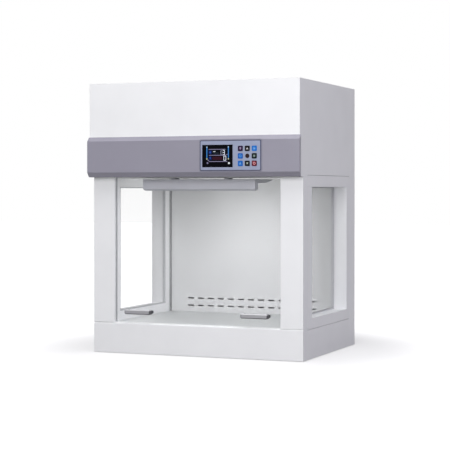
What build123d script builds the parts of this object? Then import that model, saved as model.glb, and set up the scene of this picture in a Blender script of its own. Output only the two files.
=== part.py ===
"""Bench-top vertical laminar flow hood: a folded steel cabinet with a glazed work
chamber, a sliding front sash, and a fan, a filter and the controls in its head.

Millimetres. +Z is up and the front faces -Y. The origin is on the floor, under the
centre of the whole hood.
"""

import os
from math import cos, radians, sin

from build123d import *

os.makedirs("parts", exist_ok=True)


def save(piece, name):
    """Label one finished piece and write it as its own file."""
    piece.part.label = name
    export_step(piece.part, f"parts/{name}.step")


# ---------------------------------------------------------------------------
# Driving dimensions
# ---------------------------------------------------------------------------

# Cabinet
cabinet_width = 680.0
cabinet_depth = 500.0
cabinet_height = 820.0
sheet = 1.5  # folded steel sheet
panel_gap = 0.8  # joint line between neighbouring panels
slide_play = 0.2  # clearance round a piece that slips into its seat
foot_show = 2.0  # how far the feet stand out below the cabinet
small_sides = 12  # flats that stand for the round of a screw, washer or screw hole

# Base
base_height = 92.0
pan_lift = 12.0  # bottom pan above the lower edge of the skins
pan_flange = 25.0
foot_radius = 20.0
foot_inset = 48.0
apron_fillet = 4.0
apron_return = 15.0

# Front pillars with the groove of the sash guide
pillar_width = 70.0
pillar_depth = 38.0
guide_setback = 7.0
guide_width = 15.0
guide_depth = 20.0

# Glazed side walls
side_wall = 50.0
rear_strip = 58.0
frame_drop = 5.0  # window frame below the base top
frame_rise = 5.0  # window frame above the underside of the head
frame_lip = 12.0
window_front_margin = 40.0
window_rear_margin = 28.0
window_low_margin = 32.5
window_high_margin = 34.5
seal_width = 3.5
seal_depth = 9.0
glass_bite = 1.5  # how deep a pane sits in its seal
pane_thick = 5.0
pane_inset = 2.0

# Back panel and work tray
back_setback = 11.0
slot_length = 21.4
slot_height = 4.5
slot_pitch = 35.7
slot_end = 1.4  # clipped corners at the ends of a slot
slot_count = 13
slot_row_low = 20.0  # lower row above the base top
slot_row_pitch = 24.0
tray_drop = 1.0
tray_edge = 18.0
tray_fold = 2.2
tray_play = 0.5
rail_ledge = 22.0

# Sash
sash_thick = 5.0
sash_overlap = 8.0  # closed sash above the opening
sash_play = 0.75
sash_bite = 15.0  # how deep the sash sits in each guide
stop_height = 2.0
sash_rest = 0.3
handle_length = 85.0
handle_height = 14.0
handle_reach = 20.0
handle_bar = 8.0
handle_edge = 2.5  # chamfer round the bar
handle_bend = 3.5
handle_from_pillar = 80.3
handle_lift = 34.0  # handle centre above the base top
pad_thick = 2.0
pad_radius = 5.5
handle_screw_radius = 2.5
handle_screw_depth = 8.0

# Head
head_height = 285.0  # the work chamber takes the rest of the cabinet's height
head_overhang = 28.5
head_return_gap = 1.0
skin_flange = 18.0
band_proud = 11.5
band_height = 121.5
band_overlap = 3.0  # band past each side of the cabinet
band_chamfer_high = 12.5
band_chamfer_low = 14.5

# Control panel
plate_width = 188.0
plate_height = 85.0
plate_thick = 2.0
plate_corner = 3.0
plate_from_side = 211.0
plate_centre_height = 62.5  # above the underside of the head
plate_seat = 4.0
screen_width = 97.0
screen_height = 66.0
screen_offset_x = -40.5
screen_offset_z = -1.5
screen_border = 0.8
key_size = 15.6
key_corner = 2.2
key_edge = 0.5  # chamfer round the front of a cap
key_pitch = 21.8
key_offset_x = 53.9
key_offset_z = -1.8
key_proud = 1.0
key_travel = 0.8
key_flange = 0.8
key_flange_thick = 1.2
key_rest = 0.1
stem_width = 4.5
switch_height = 0.4
sensor_radius = 6.5
board_gap = 6.5  # plate to circuit board
board_thick = 1.6
spacer_width = 4.0

# Filter, plenum and fan
diffuser_drop = 2.5  # ceiling below the underside of the head
ceiling_clearance = 2.0
hepa_height = 69.0
hepa_wall = 15.0
pleat_pitch = 18.2
pleat_depth = 52.0
pleat_sheet = 6.0
gasket_thick = 5.0
gasket_width = 14.0
plenum_height = 110.0
plenum_flange = 14.0
throat_radius = 73.0
bell_radius = 20.0
throat_length = 8.0
throat_overlap = 4.0
eye_play = 1.5  # running gap between the bell mouth and the wheel
wheel_radius = 110.0
wheel_height = 62.0
wheel_gap = 2.0
wheel_sheet = 2.0
wheel_lip = 6.0
wheel_fall = 18.0
blade_count = 7
blade_inner_radius = 62.0
blade_sweep = 52.0
rotor_radius = 46.0
rotor_height = 42.0
rotor_crown = 6.0
axle_radius = 10.0
axle_play = 0.06
stator_radius = 50.0
stator_height = 8.0
bridge_width = 70.0

# Intake on the top
intake_columns = 3
intake_rows = 12
intake_slot_length = 110.0
intake_slot_width = 8.0
intake_slot_pitch = 17.0
intake_column_pitch = 128.0
prefilter_thick = 18.0
prefilter_margin = 14.0
prefilter_ledge = 8.0

# Work lamp under the ceiling
shade_end_room = 39.0  # tube end to the end of the shade
shade_setback = 20.0
shade_depth = 145.0
shade_gap = 4.0  # ceiling to shade
shade_sheet = 1.2
lip_height = 34.5
lip_depth = 24.0
lip_chamfer = 5.0
shade_end_height = 12.0
bracket_width = 14.0
bracket_from_end = 95.0
bracket_setback = 25.0
bracket_length = 30.0
tube_radius = 8.0
tube_length = 288.0
tube_pitch = 32.0
tube_drop = 4.0
holder_thick = 9.0
holder_width = 20.0

# Mains inlet on the rear
inlet_flange = 2.0
inlet_width = 31.0
inlet_height = 24.0
inlet_body_depth = 26.0
socket_width = 24.4
socket_height = 16.6
socket_depth = 20.0
inlet_from_side = 90.0
inlet_drop = 52.0
pin_reach = 14.0
pin_width = 4.0
pin_thick = 2.0
pin_pitch = 14.0
box_width = 150.0
box_depth = 110.0
box_height = 55.0
rear_screw_radius = 4.0
rear_screw_head = 1.6
rear_screw_rows = 4
rear_screw_inset = 10.0
rear_screw_end = 30.0

# ---------------------------------------------------------------------------
# Planes and levels that the pieces share
# ---------------------------------------------------------------------------

nose = head_overhang + band_proud + plate_thick + key_proud
y_front = -(cabinet_depth + inlet_flange - nose) / 2
y_rear = y_front + cabinet_depth
y_head = y_front - head_overhang
y_band = y_head - band_proud
y_plate = y_band - plate_thick
y_window_front = y_front + pillar_depth
y_strip = y_rear - rear_strip
y_back = y_strip + back_setback

x_side = cabinet_width / 2
x_skin = x_side - sheet
x_pillar = x_side - pillar_width
x_inner = x_side - side_wall

z_bottom = foot_show
z_pan = z_bottom + pan_lift
z_base = z_bottom + base_height
z_top = z_bottom + cabinet_height
z_head = z_top - head_height
opening_height = z_head - z_base
z_roof = z_top - sheet
z_frame_low = z_base - frame_drop
z_frame_high = z_head + frame_rise

window_length = y_strip - y_window_front - window_front_margin - window_rear_margin
window_height = z_frame_high - z_frame_low - window_low_margin - window_high_margin
y_window = y_window_front + window_front_margin + window_length / 2
z_window = z_frame_low + window_low_margin + window_height / 2

y_sash = y_front + guide_setback + guide_width / 2
z_sash = z_base + stop_height + sash_rest
sash_width = 2 * (x_pillar + sash_bite)
sash_height = opening_height + sash_overlap
x_handle = x_pillar - handle_from_pillar
z_handle = z_base + handle_lift

# The filter stack hangs between the sash and the rear duct.
y_stack_front = y_front + guide_setback + guide_width + ceiling_clearance
y_stack_rear = y_back - panel_gap
x_stack = x_inner - ceiling_clearance
y_stack = (y_stack_front + y_stack_rear) / 2
stack_depth = y_stack_rear - y_stack_front
z_ceiling = z_head - diffuser_drop
z_filter_rail = z_frame_high + panel_gap
z_hepa = z_filter_rail + sheet
z_gasket = z_hepa + hepa_height
z_plenum = z_gasket + gasket_thick
z_deck = z_plenum + plenum_height

# The fan wheel hangs under the inlet ring in the deck.
z_ring = z_deck + sheet
z_throat = z_ring - bell_radius - throat_length
z_wheel_top = z_throat + throat_overlap
z_wheel = z_wheel_top - wheel_height
eye_radius = throat_radius + 2 * sheet + eye_play
z_bridge = z_wheel - wheel_gap - stator_height

# ---------------------------------------------------------------------------
# Base
# ---------------------------------------------------------------------------

pan_depth = cabinet_depth - 3 * sheet
with BuildPart() as base_pan:
    with BuildSketch(Plane.XY.offset(z_pan)):
        with Locations((0, y_front + sheet + pan_depth / 2)):
            Rectangle(2 * x_skin, pan_depth)
    extrude(amount=pan_flange)
    offset(amount=-sheet, openings=base_pan.faces().sort_by(Axis.Z)[-1])
save(base_pan, "base_pan")

with BuildPart() as levelling_feet:
    with BuildSketch(Plane.XY):
        with Locations((0, y_front + cabinet_depth / 2)):
            with GridLocations(
                cabinet_width - 2 * foot_inset, cabinet_depth - 2 * foot_inset, 2, 2
            ):
                Circle(foot_radius)
    extrude(amount=z_pan)
save(levelling_feet, "levelling_feet")

# Front panel of the base, folded back into the sill that carries the pillars.
with BuildPart() as front_apron:
    with BuildSketch(Plane.YZ) as apron_profile:
        with Locations((y_front + pillar_depth / 2, z_bottom + base_height / 2)):
            Rectangle(pillar_depth, base_height)
        fillet(
            apron_profile.vertices().group_by(Axis.X)[0].sort_by(Axis.Y)[-1],
            radius=apron_fillet,
        )
        offset(amount=-sheet, mode=Mode.SUBTRACT)
        with Locations((y_front + pillar_depth, z_bottom)):
            Rectangle(
                2 * sheet,
                2 * (base_height - apron_return),
                mode=Mode.SUBTRACT,
            )
        with Locations((y_front + apron_return, z_bottom)):
            Rectangle(
                pillar_depth,
                2 * sheet,
                align=(Align.MIN, Align.CENTER),
                mode=Mode.SUBTRACT,
            )
    extrude(amount=x_side, both=True)
    with BuildSketch(Plane.XY.offset(z_bottom)):
        with Locations((x_side, y_front + sheet), (-x_side, y_front + sheet)):
            Rectangle(
                2 * sheet,
                pillar_depth,
                align=(Align.CENTER, Align.MIN),
            )
    extrude(amount=base_height, mode=Mode.SUBTRACT)
save(front_apron, "front_apron")

# Z-shaped rails along the base sides: the outer shelf carries the window frames
# and the inner ledge carries the tray.
z_tray = z_base - tray_drop
z_ledge = z_tray - tray_edge
rail_length = y_back - y_window_front
with BuildPart() as base_rails:
    with BuildSketch(Plane.XZ.offset(-y_back)):
        for side in (-1, 1):
            with Locations((side * (x_inner + x_skin) / 2, z_frame_low)):
                Rectangle(
                    x_skin - x_inner,
                    sheet,
                    align=(Align.CENTER, Align.MAX),
                )
            with Locations((side * (x_inner + sheet), z_frame_low)):
                Rectangle(
                    sheet,
                    z_frame_low - z_ledge + sheet,
                    align=(Align.CENTER, Align.MAX),
                )
            with Locations((side * (x_inner + 1.5 * sheet - rail_ledge / 2), z_ledge)):
                Rectangle(rail_ledge, sheet, align=(Align.CENTER, Align.MAX))
            with Locations((side * (x_skin - sheet / 2), z_frame_low)):
                Rectangle(
                    sheet,
                    rail_ledge,
                    align=(Align.CENTER, Align.MAX),
                )
    extrude(amount=rail_length)
save(base_rails, "base_rails")

with BuildPart() as work_tray:
    with BuildSketch(Plane.XY.offset(z_tray)):
        with Locations((0, (y_window_front + y_back) / 2)):
            Rectangle(2 * (x_inner - tray_play), rail_length - 2 * tray_play)
    extrude(amount=-tray_edge)
    fillet(work_tray.faces().sort_by(Axis.Z)[-1].edges(), radius=tray_fold)
    offset(amount=-sheet, openings=work_tray.faces().sort_by(Axis.Z)[0])
save(work_tray, "work_tray")

# ---------------------------------------------------------------------------
# Cabinet walls, one of each per side
# ---------------------------------------------------------------------------

for side, hand in ((-1, "left"), (1, "right")):
    # One sheet round the window frame: base side, rear strip and head side.
    with BuildPart() as side_skin:
        with BuildSketch(Plane.YZ.offset(side * x_skin)):
            Polygon(
                (y_front + sheet, z_bottom),
                (y_rear, z_bottom),
                (y_rear, z_top),
                (y_head + sheet, z_top),
                (y_head + sheet, z_head),
                (y_window_front, z_head),
                (y_window_front, z_frame_high),
                (y_strip, z_frame_high),
                (y_strip, z_frame_low),
                (y_window_front, z_frame_low),
                (y_window_front, z_base),
                (y_front + sheet, z_base),
                align=None,
            )
        extrude(amount=side * sheet)
        # Flanges behind the rear cover and behind the head's front panel.
        with BuildSketch(Plane.XY.offset(z_bottom)):
            with Locations((side * x_skin, y_rear - 1.5 * sheet)):
                Rectangle(2 * skin_flange, sheet)
        extrude(amount=cabinet_height - sheet)
        with BuildSketch(Plane.XY.offset(z_head + sheet)):
            with Locations((side * x_skin, y_head + 1.5 * sheet)):
                Rectangle(2 * skin_flange, sheet)
        extrude(amount=z_roof - z_head - sheet)
        with BuildSketch(Plane.XY):
            with Locations((side * x_side, (y_head + y_rear) / 2)):
                Rectangle(
                    4 * skin_flange,
                    2 * cabinet_depth,
                    align=(Align.MIN if side > 0 else Align.MAX, Align.CENTER),
                )
        extrude(amount=2 * cabinet_height, mode=Mode.SUBTRACT)
    save(side_skin, f"side_skin_{hand}")

    # Folded hollow pillar with the groove that holds the sash guide.
    with BuildPart() as pillar:
        with BuildSketch(Plane.XY.offset(z_base)) as pillar_section:
            with Locations((side * (x_side - pillar_width / 2), y_front + pillar_depth / 2)):
                Rectangle(pillar_width, pillar_depth)
            with Locations((side * x_pillar, y_sash)):
                Rectangle(2 * guide_depth, guide_width, mode=Mode.SUBTRACT)
            offset(amount=-sheet, kind=Kind.INTERSECTION, mode=Mode.SUBTRACT)
        extrude(amount=opening_height)
    save(pillar, f"pillar_{hand}")

    # Channel for the sash. Its upper half stands in the head, and a stop closes
    # its foot.
    with BuildPart() as sash_guide:
        with BuildSketch(Plane.XY.offset(z_base)):
            with Locations((side * (x_pillar + (guide_depth - slide_play) / 2), y_sash)):
                Rectangle(guide_depth - slide_play, guide_width - 2 * slide_play)
            with Locations((side * x_pillar, y_sash)):
                Rectangle(
                    2 * (sash_bite + 2 * sash_play),
                    sash_thick + 2 * sash_play,
                    mode=Mode.SUBTRACT,
                )
        extrude(amount=z_roof - frame_rise - z_base)
        with BuildSketch(Plane.XY.offset(z_base)):
            with Locations((side * (x_pillar + guide_depth / 2), y_sash)):
                Rectangle(guide_depth - 2 * slide_play, guide_width - 2 * slide_play)
        extrude(amount=stop_height)
    save(sash_guide, f"sash_guide_{hand}")

    # Hollow window frame: two faces joined by the reveal, with a lip folded in
    # round the outer face.
    frame_y = (y_window_front + y_strip) / 2
    frame_z = (z_frame_low + z_frame_high) / 2
    frame_length = y_strip - y_window_front - 2 * panel_gap
    frame_height = z_frame_high - z_frame_low - 2 * panel_gap
    with BuildPart() as window_frame:
        for face_x in (x_inner, x_skin):
            with BuildSketch(Plane.YZ.offset(side * face_x)):
                with Locations((frame_y, frame_z)):
                    Rectangle(frame_length, frame_height)
            extrude(amount=side * sheet)
        with BuildSketch(Plane.YZ.offset(side * x_inner)):
            with Locations((y_window, z_window)):
                Rectangle(window_length + 2 * sheet, window_height + 2 * sheet)
        extrude(amount=side * side_wall)
        with BuildSketch(Plane.YZ.offset(side * x_side)):
            with Locations((frame_y, frame_z)):
                Rectangle(frame_length, frame_height)
                Rectangle(
                    frame_length - 2 * sheet,
                    frame_height - 2 * sheet,
                    mode=Mode.SUBTRACT,
                )
        extrude(amount=-side * frame_lip)
        with BuildSketch(Plane.YZ.offset(side * x_inner)):
            with Locations((y_window, z_window)):
                Rectangle(window_length, window_height)
        extrude(amount=side * side_wall, mode=Mode.SUBTRACT)
    save(window_frame, f"window_frame_{hand}")

    # Fixed pane and the rubber seal that grips its edge all round.
    pane_length = window_length - 2 * (seal_width - glass_bite)
    pane_height = window_height - 2 * (seal_width - glass_bite)
    with BuildPart() as side_pane:
        with BuildSketch(Plane.YZ.offset(side * (x_inner + pane_inset))):
            with Locations((y_window, z_window)):
                Rectangle(pane_length, pane_height)
        extrude(amount=side * pane_thick)
    save(side_pane, f"side_pane_{hand}")

    with BuildPart() as pane_seal:
        with BuildSketch(Plane.YZ.offset(side * x_inner)):
            with Locations((y_window, z_window)):
                Rectangle(window_length, window_height)
                Rectangle(
                    window_length - 2 * seal_width,
                    window_height - 2 * seal_width,
                    mode=Mode.SUBTRACT,
                )
        extrude(amount=side * seal_depth)
        with BuildSketch(Plane.YZ.offset(side * (x_inner + pane_inset))):
            with Locations((y_window, z_window)):
                Rectangle(pane_length, pane_height)
        extrude(amount=side * pane_thick, mode=Mode.SUBTRACT)
    save(pane_seal, f"pane_seal_{hand}")

# ---------------------------------------------------------------------------
# Rear wall and top
# ---------------------------------------------------------------------------

# Chamber back with two rows of return-air slots. Its edges turn forward to the
# window frames.
z_slots = z_base + slot_row_low + slot_row_pitch / 2
with BuildPart() as back_panel:
    with BuildSketch(Plane.XZ.offset(-y_back)):
        with Locations((0, (z_pan + sheet + z_frame_high) / 2)):
            Rectangle(2 * x_inner, z_frame_high - z_pan - sheet)
        with Locations((0, z_slots)):
            with GridLocations(slot_pitch, slot_row_pitch, slot_count, 2):
                with BuildSketch(mode=Mode.PRIVATE) as slot:
                    Rectangle(slot_length, slot_height)
                    chamfer(slot.vertices(), length=slot_end)
                add(slot.sketch, mode=Mode.SUBTRACT)
    extrude(amount=-sheet)
    with BuildSketch(Plane.XY.offset(z_frame_low)):
        for side in (-1, 1):
            with Locations((side * (x_inner - sheet / 2), y_back)):
                Rectangle(sheet, back_setback, align=(Align.CENTER, Align.MAX))
    extrude(amount=z_frame_high - z_frame_low)
    # Clearance for the rear corners of the tray.
    with BuildSketch(Plane.XY.offset(z_frame_low)):
        with Locations((0, y_back)):
            Rectangle(4 * x_inner, back_setback * 4, align=(Align.CENTER, Align.MAX))
    extrude(amount=z_tray + tray_play - z_frame_low, mode=Mode.SUBTRACT)
save(back_panel, "back_panel")

inlet_x = inlet_from_side - x_side
inlet_z = z_top - inlet_drop
rear_screw_span = cabinet_height - 2 * rear_screw_end
with BuildPart() as rear_cover:
    with BuildSketch(Plane.XZ.offset(-y_rear)):
        with Locations((0, z_bottom + cabinet_height / 2)):
            Rectangle(2 * x_skin, cabinet_height)
            with GridLocations(
                2 * (x_skin - rear_screw_inset),
                rear_screw_span / (rear_screw_rows - 1),
                2,
                rear_screw_rows,
            ):
                RegularPolygon(
                    rear_screw_radius / 2 + slide_play, small_sides, mode=Mode.SUBTRACT
                )
        with Locations((inlet_x, inlet_z)):
            Rectangle(
                socket_width + 2 * inlet_flange + 2 * slide_play,
                socket_height + 2 * inlet_flange + 2 * slide_play,
                mode=Mode.SUBTRACT,
            )
    extrude(amount=sheet)
save(rear_cover, "rear_cover")

with BuildPart() as rear_screws:
    with BuildSketch(Plane.XZ.offset(-y_rear)):
        with Locations((0, z_bottom + cabinet_height / 2)):
            with GridLocations(
                2 * (x_skin - rear_screw_inset),
                rear_screw_span / (rear_screw_rows - 1),
                2,
                rear_screw_rows,
            ):
                RegularPolygon(rear_screw_radius, small_sides)
    extrude(amount=-rear_screw_head)
    with BuildSketch(Plane.XZ.offset(-y_rear)):
        with Locations((0, z_bottom + cabinet_height / 2)):
            with GridLocations(
                2 * (x_skin - rear_screw_inset),
                rear_screw_span / (rear_screw_rows - 1),
                2,
                rear_screw_rows,
            ):
                RegularPolygon(rear_screw_radius / 2, small_sides)
    extrude(amount=sheet)
save(rear_screws, "rear_screws")

roof_depth = y_rear - sheet - y_head - sheet
y_intake = y_stack
intake_length = (intake_columns - 1) * intake_column_pitch + intake_slot_length
intake_depth = (intake_rows - 1) * intake_slot_pitch + intake_slot_width
with BuildPart() as top_cover:
    with BuildSketch(Plane.XY.offset(z_roof)):
        with Locations((0, y_head + sheet + roof_depth / 2)):
            Rectangle(2 * x_skin, roof_depth)
        with Locations((0, y_intake)):
            with GridLocations(
                intake_column_pitch, intake_slot_pitch, intake_columns, intake_rows
            ):
                Rectangle(
                    intake_slot_length, intake_slot_width, mode=Mode.SUBTRACT
                )
    extrude(amount=sheet)
    with BuildSketch(Plane.XY.offset(z_roof)):
        for side in (-1, 1):
            with Locations((side * (x_skin - sheet / 2), y_head + sheet + roof_depth / 2)):
                Rectangle(sheet, roof_depth - 4 * skin_flange)
    extrude(amount=-frame_lip)
save(top_cover, "top_cover")

# Prefilter mat under the intake slots, in a holder with a ledge round its foot.
holder_length = intake_length + 2 * prefilter_margin
holder_depth = intake_depth + 2 * prefilter_margin
with BuildPart() as prefilter_holder:
    with BuildSketch(Plane.XY.offset(z_roof)):
        with Locations((0, y_intake)):
            Rectangle(holder_length, holder_depth)
    extrude(amount=-(prefilter_thick + sheet))
    with BuildSketch(Plane.XY.offset(z_roof)):
        with Locations((0, y_intake)):
            Rectangle(holder_length - 2 * sheet, holder_depth - 2 * sheet)
    extrude(amount=-prefilter_thick, mode=Mode.SUBTRACT)
    with BuildSketch(Plane.XY.offset(z_roof)):
        with Locations((0, y_intake)):
            Rectangle(
                holder_length - 2 * prefilter_ledge,
                holder_depth - 2 * prefilter_ledge,
            )
    extrude(amount=-(prefilter_thick + sheet), mode=Mode.SUBTRACT)
save(prefilter_holder, "prefilter_holder")

with BuildPart() as prefilter_mat:
    with BuildSketch(Plane.XY.offset(z_roof - prefilter_thick)):
        with Locations((0, y_intake)):
            Rectangle(
                holder_length - 2 * sheet - 2 * slide_play,
                holder_depth - 2 * sheet - 2 * slide_play,
            )
    extrude(amount=prefilter_thick - slide_play)
save(prefilter_mat, "prefilter_mat")

# ---------------------------------------------------------------------------
# Head front and control band
# ---------------------------------------------------------------------------

head_return = y_front + guide_setback - head_return_gap - y_head
with BuildPart() as head_front_panel:
    with BuildSketch(Plane.XZ.offset(-y_head)):
        with Locations((0, (z_head + z_top) / 2)):
            Rectangle(cabinet_width, z_top - z_head)
    extrude(amount=-sheet)
    with BuildSketch(Plane.XY.offset(z_head)):
        with Locations((0, y_head)):
            Rectangle(2 * x_skin, head_return, align=(Align.CENTER, Align.MIN))
    extrude(amount=sheet)
    with BuildSketch(Plane.XY.offset(z_head)):
        with Locations((0, y_head + head_return)):
            Rectangle(2 * x_pillar, sheet, align=(Align.CENTER, Align.MAX))
    extrude(amount=frame_lip)
save(head_front_panel, "head_front_panel")

# Projecting fascia with a chamfer along its top and its bottom, closed at the ends.
z_band = z_head + band_height
x_plate = x_side - plate_from_side
z_plate = z_head + plate_centre_height
with BuildPart() as control_band:
    with BuildSketch(Plane.YZ):
        Polygon(
            (y_head, z_head),
            (y_band, z_head + band_chamfer_low),
            (y_band, z_band - band_chamfer_high),
            (y_head, z_band),
            align=None,
        )
    extrude(amount=x_side + band_overlap, both=True)
    offset(amount=-sheet, openings=control_band.faces().sort_by(Axis.Y)[-1])
    with BuildSketch(Plane.XZ.offset(-y_band)):
        with Locations((x_plate, z_plate)):
            Rectangle(plate_width - 2 * plate_seat, plate_height - 2 * plate_seat)
    extrude(amount=-2 * sheet, mode=Mode.SUBTRACT)
save(control_band, "control_band")

# Fascia plate with a cut-out for the screen, each key and the sensor.
x_keys = x_plate + key_offset_x
z_keys = z_plate + key_offset_z
x_screen = x_plate + screen_offset_x
z_screen = z_plate + screen_offset_z
key_rows = (
    ("key_set", "key_down", "key_power"),
    ("key_socket", "", "key_fan"),
    ("key_lamp", "key_up", "key_uv"),
)
key_places = [
    (name, (column - 1) * key_pitch, (row - 1) * key_pitch)
    for row, names in enumerate(key_rows)
    for column, name in enumerate(names)
    if name
]
with BuildPart() as control_plate:
    with BuildSketch(Plane.XZ.offset(-y_plate)):
        with Locations((x_plate, z_plate)):
            RectangleRounded(plate_width, plate_height, plate_corner)
        with Locations((x_screen, z_screen)):
            Rectangle(screen_width, screen_height, mode=Mode.SUBTRACT)
        with Locations((x_keys, z_keys)):
            Circle(sensor_radius + slide_play, mode=Mode.SUBTRACT)
            with Locations([(dx, dz) for _, dx, dz in key_places]):
                with BuildSketch(mode=Mode.PRIVATE) as key_hole:
                    Rectangle(key_size + 2 * slide_play, key_size + 2 * slide_play)
                    chamfer(key_hole.vertices(), length=key_corner)
                add(key_hole.sketch, mode=Mode.SUBTRACT)
    extrude(amount=-plate_thick)
save(control_plate, "control_plate")

y_board = y_band + board_gap
with BuildPart() as display:
    with BuildSketch(Plane.XZ.offset(-y_plate)):
        with Locations((x_screen, z_screen)):
            Rectangle(screen_width - 2 * slide_play, screen_height - 2 * slide_play)
    extrude(amount=-plate_thick)
    with BuildSketch(Plane.XZ.offset(-y_band)):
        with Locations((x_screen, z_screen)):
            Rectangle(
                screen_width + 2 * screen_border, screen_height + 2 * screen_border
            )
    extrude(amount=-board_gap)
save(display, "display")

# Keys: a cap in the plate, a flange behind it and a stem to its switch.
stem_end = y_board - switch_height - key_travel - slide_play
for name, dx, dz in key_places:
    with BuildPart() as key:
        with BuildSketch(Plane.XZ.offset(-(y_plate - key_proud))):
            with Locations((x_keys + dx, z_keys + dz)):
                Rectangle(key_size, key_size)
        extrude(amount=-(key_proud + plate_thick + key_rest))
        chamfer(key.edges().filter_by(Axis.Y), length=key_corner)
        chamfer(key.faces().sort_by(Axis.Y)[0].edges(), length=key_edge)
        with BuildSketch(Plane.XZ.offset(-(y_band + key_rest))):
            with Locations((x_keys + dx, z_keys + dz)):
                Rectangle(key_size + 2 * key_flange, key_size + 2 * key_flange)
        extrude(amount=-key_flange_thick)
        with BuildSketch(Plane.XZ.offset(-(y_band + key_rest + key_flange_thick))):
            with Locations((x_keys + dx, z_keys + dz)):
                Rectangle(stem_width, stem_width)
        extrude(amount=-(stem_end - y_band - key_rest - key_flange_thick))
    save(key, name)

with BuildPart() as sensor_window:
    with BuildSketch(Plane.XZ.offset(-(y_plate - slide_play))):
        with Locations((x_keys, z_keys)):
            Circle(sensor_radius)
    extrude(amount=-(plate_thick + board_gap + slide_play))
save(sensor_window, "sensor_window")

# Circuit board on four spacers behind the plate, with a switch under each key.
board_width = plate_width - 2.5 * plate_seat
board_height = plate_height - 3 * plate_seat
with BuildPart() as control_board:
    with BuildSketch(Plane.XZ.offset(-y_board)):
        with Locations((x_plate, z_plate)):
            Rectangle(board_width, board_height)
    extrude(amount=-board_thick)
    with BuildSketch(Plane.XZ.offset(-y_board)):
        with Locations((x_keys, z_plate)):
            with GridLocations(3 * key_pitch, board_height - 2 * spacer_width, 2, 2):
                Rectangle(spacer_width, spacer_width)
    extrude(amount=board_gap)
    with BuildSketch(Plane.XZ.offset(-y_board)):
        with Locations((x_keys, z_keys)):
            with Locations([(dx, dz) for _, dx, dz in key_places]):
                Rectangle(2 * stem_width, 2 * stem_width)
    extrude(amount=switch_height)
save(control_board, "control_board")

# ---------------------------------------------------------------------------
# Sash and its handles
# ---------------------------------------------------------------------------

handle_hole_span = handle_length - handle_bar
y_glass_front = y_sash - sash_thick / 2
y_leg_end = y_glass_front - pad_thick
hole_places = [
    (side * x_handle + end * handle_hole_span / 2, z_handle)
    for side in (-1, 1)
    for end in (-1, 1)
]
with BuildPart() as sash_glass:
    with BuildSketch(Plane.XZ.offset(-(y_sash + sash_thick / 2))):
        with Locations((0, z_sash + sash_height / 2)):
            Rectangle(sash_width, sash_height)
        with Locations(hole_places):
            RegularPolygon(
                handle_screw_radius + slide_play, small_sides, mode=Mode.SUBTRACT
            )
    extrude(amount=sash_thick)
save(sash_glass, "sash_glass")

for side, hand in ((-1, "left"), (1, "right")):
    # Bow handle: a bar bent back into two legs, its edges chamfered.
    with BuildPart() as sash_handle:
        with BuildSketch(Plane.XY.offset(z_handle - handle_height / 2)) as bow:
            with Locations((side * x_handle, y_leg_end)):
                Rectangle(
                    handle_length, handle_reach, align=(Align.CENTER, Align.MAX)
                )
                Rectangle(
                    handle_length - 2 * handle_bar,
                    handle_reach - handle_bar,
                    align=(Align.CENTER, Align.MAX),
                    mode=Mode.SUBTRACT,
                )
            fillet(bow.vertices().group_by(Axis.Y)[0], radius=handle_bend)
        extrude(amount=handle_height)
        rim = sash_handle.faces().filter_by(Axis.Z).edges()
        chamfer(
            rim.filter_by(lambda edge: edge.center().Y < y_leg_end - handle_bar * 1.6),
            length=handle_edge,
        )
        with BuildSketch(Plane.XZ.offset(-y_leg_end)):
            with Locations(hole_places):
                RegularPolygon(handle_screw_radius + slide_play / 2, small_sides)
        extrude(amount=handle_screw_depth + slide_play, mode=Mode.SUBTRACT)
    save(sash_handle, f"sash_handle_{hand}")

with BuildPart() as handle_pads:
    with BuildSketch(Plane.XZ.offset(-y_glass_front)):
        with Locations(hole_places):
            RegularPolygon(pad_radius, small_sides)
            RegularPolygon(
                handle_screw_radius + slide_play, small_sides, mode=Mode.SUBTRACT
            )
    extrude(amount=pad_thick)
save(handle_pads, "handle_pads")

with BuildPart() as handle_screws:
    with BuildSketch(Plane.XZ.offset(-(y_sash + sash_thick / 2))):
        with Locations(hole_places):
            RegularPolygon(pad_radius, small_sides)
    extrude(amount=-pad_thick)
    with BuildSketch(Plane.XZ.offset(-(y_sash + sash_thick / 2))):
        with Locations(hole_places):
            RegularPolygon(handle_screw_radius, small_sides)
    extrude(amount=sash_thick + pad_thick + handle_screw_depth)
save(handle_screws, "handle_screws")

# Angles that tie the upper half of the sash guides to the head's sides.
with BuildPart() as guide_brackets:
    with BuildSketch(Plane.XY.offset(z_frame_high + panel_gap)):
        for side in (-1, 1):
            y_angle = y_sash + guide_width / 2 - slide_play
            with Locations((side * (x_pillar + x_skin) / 2, y_angle)):
                Rectangle(
                    x_skin - x_pillar, sheet, align=(Align.CENTER, Align.MIN)
                )
            with Locations((side * (x_skin - sheet / 2), y_angle)):
                Rectangle(sheet, skin_flange, align=(Align.CENTER, Align.MIN))
    extrude(amount=z_roof - frame_rise - z_frame_high - panel_gap - frame_lip)
save(guide_brackets, "guide_brackets")

# ---------------------------------------------------------------------------
# Filter stack in the head
# ---------------------------------------------------------------------------

# Shelves on the head's sides that carry the filter.
y_shelf = y_front + guide_setback + guide_width + skin_flange + ceiling_clearance
with BuildPart() as filter_rails:
    with BuildSketch(Plane.XY.offset(z_filter_rail)):
        for side in (-1, 1):
            with Locations((side * (x_stack - hepa_wall + x_skin) / 2, y_shelf)):
                Rectangle(
                    x_skin - x_stack + hepa_wall,
                    y_stack_rear - y_shelf,
                    align=(Align.CENTER, Align.MIN),
                )
    extrude(amount=sheet)
    with BuildSketch(Plane.XY.offset(z_filter_rail)):
        for side in (-1, 1):
            with Locations((side * (x_skin - sheet / 2), y_shelf)):
                Rectangle(
                    sheet, y_stack_rear - y_shelf, align=(Align.CENTER, Align.MIN)
                )
    extrude(amount=skin_flange)
save(filter_rails, "filter_rails")

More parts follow.
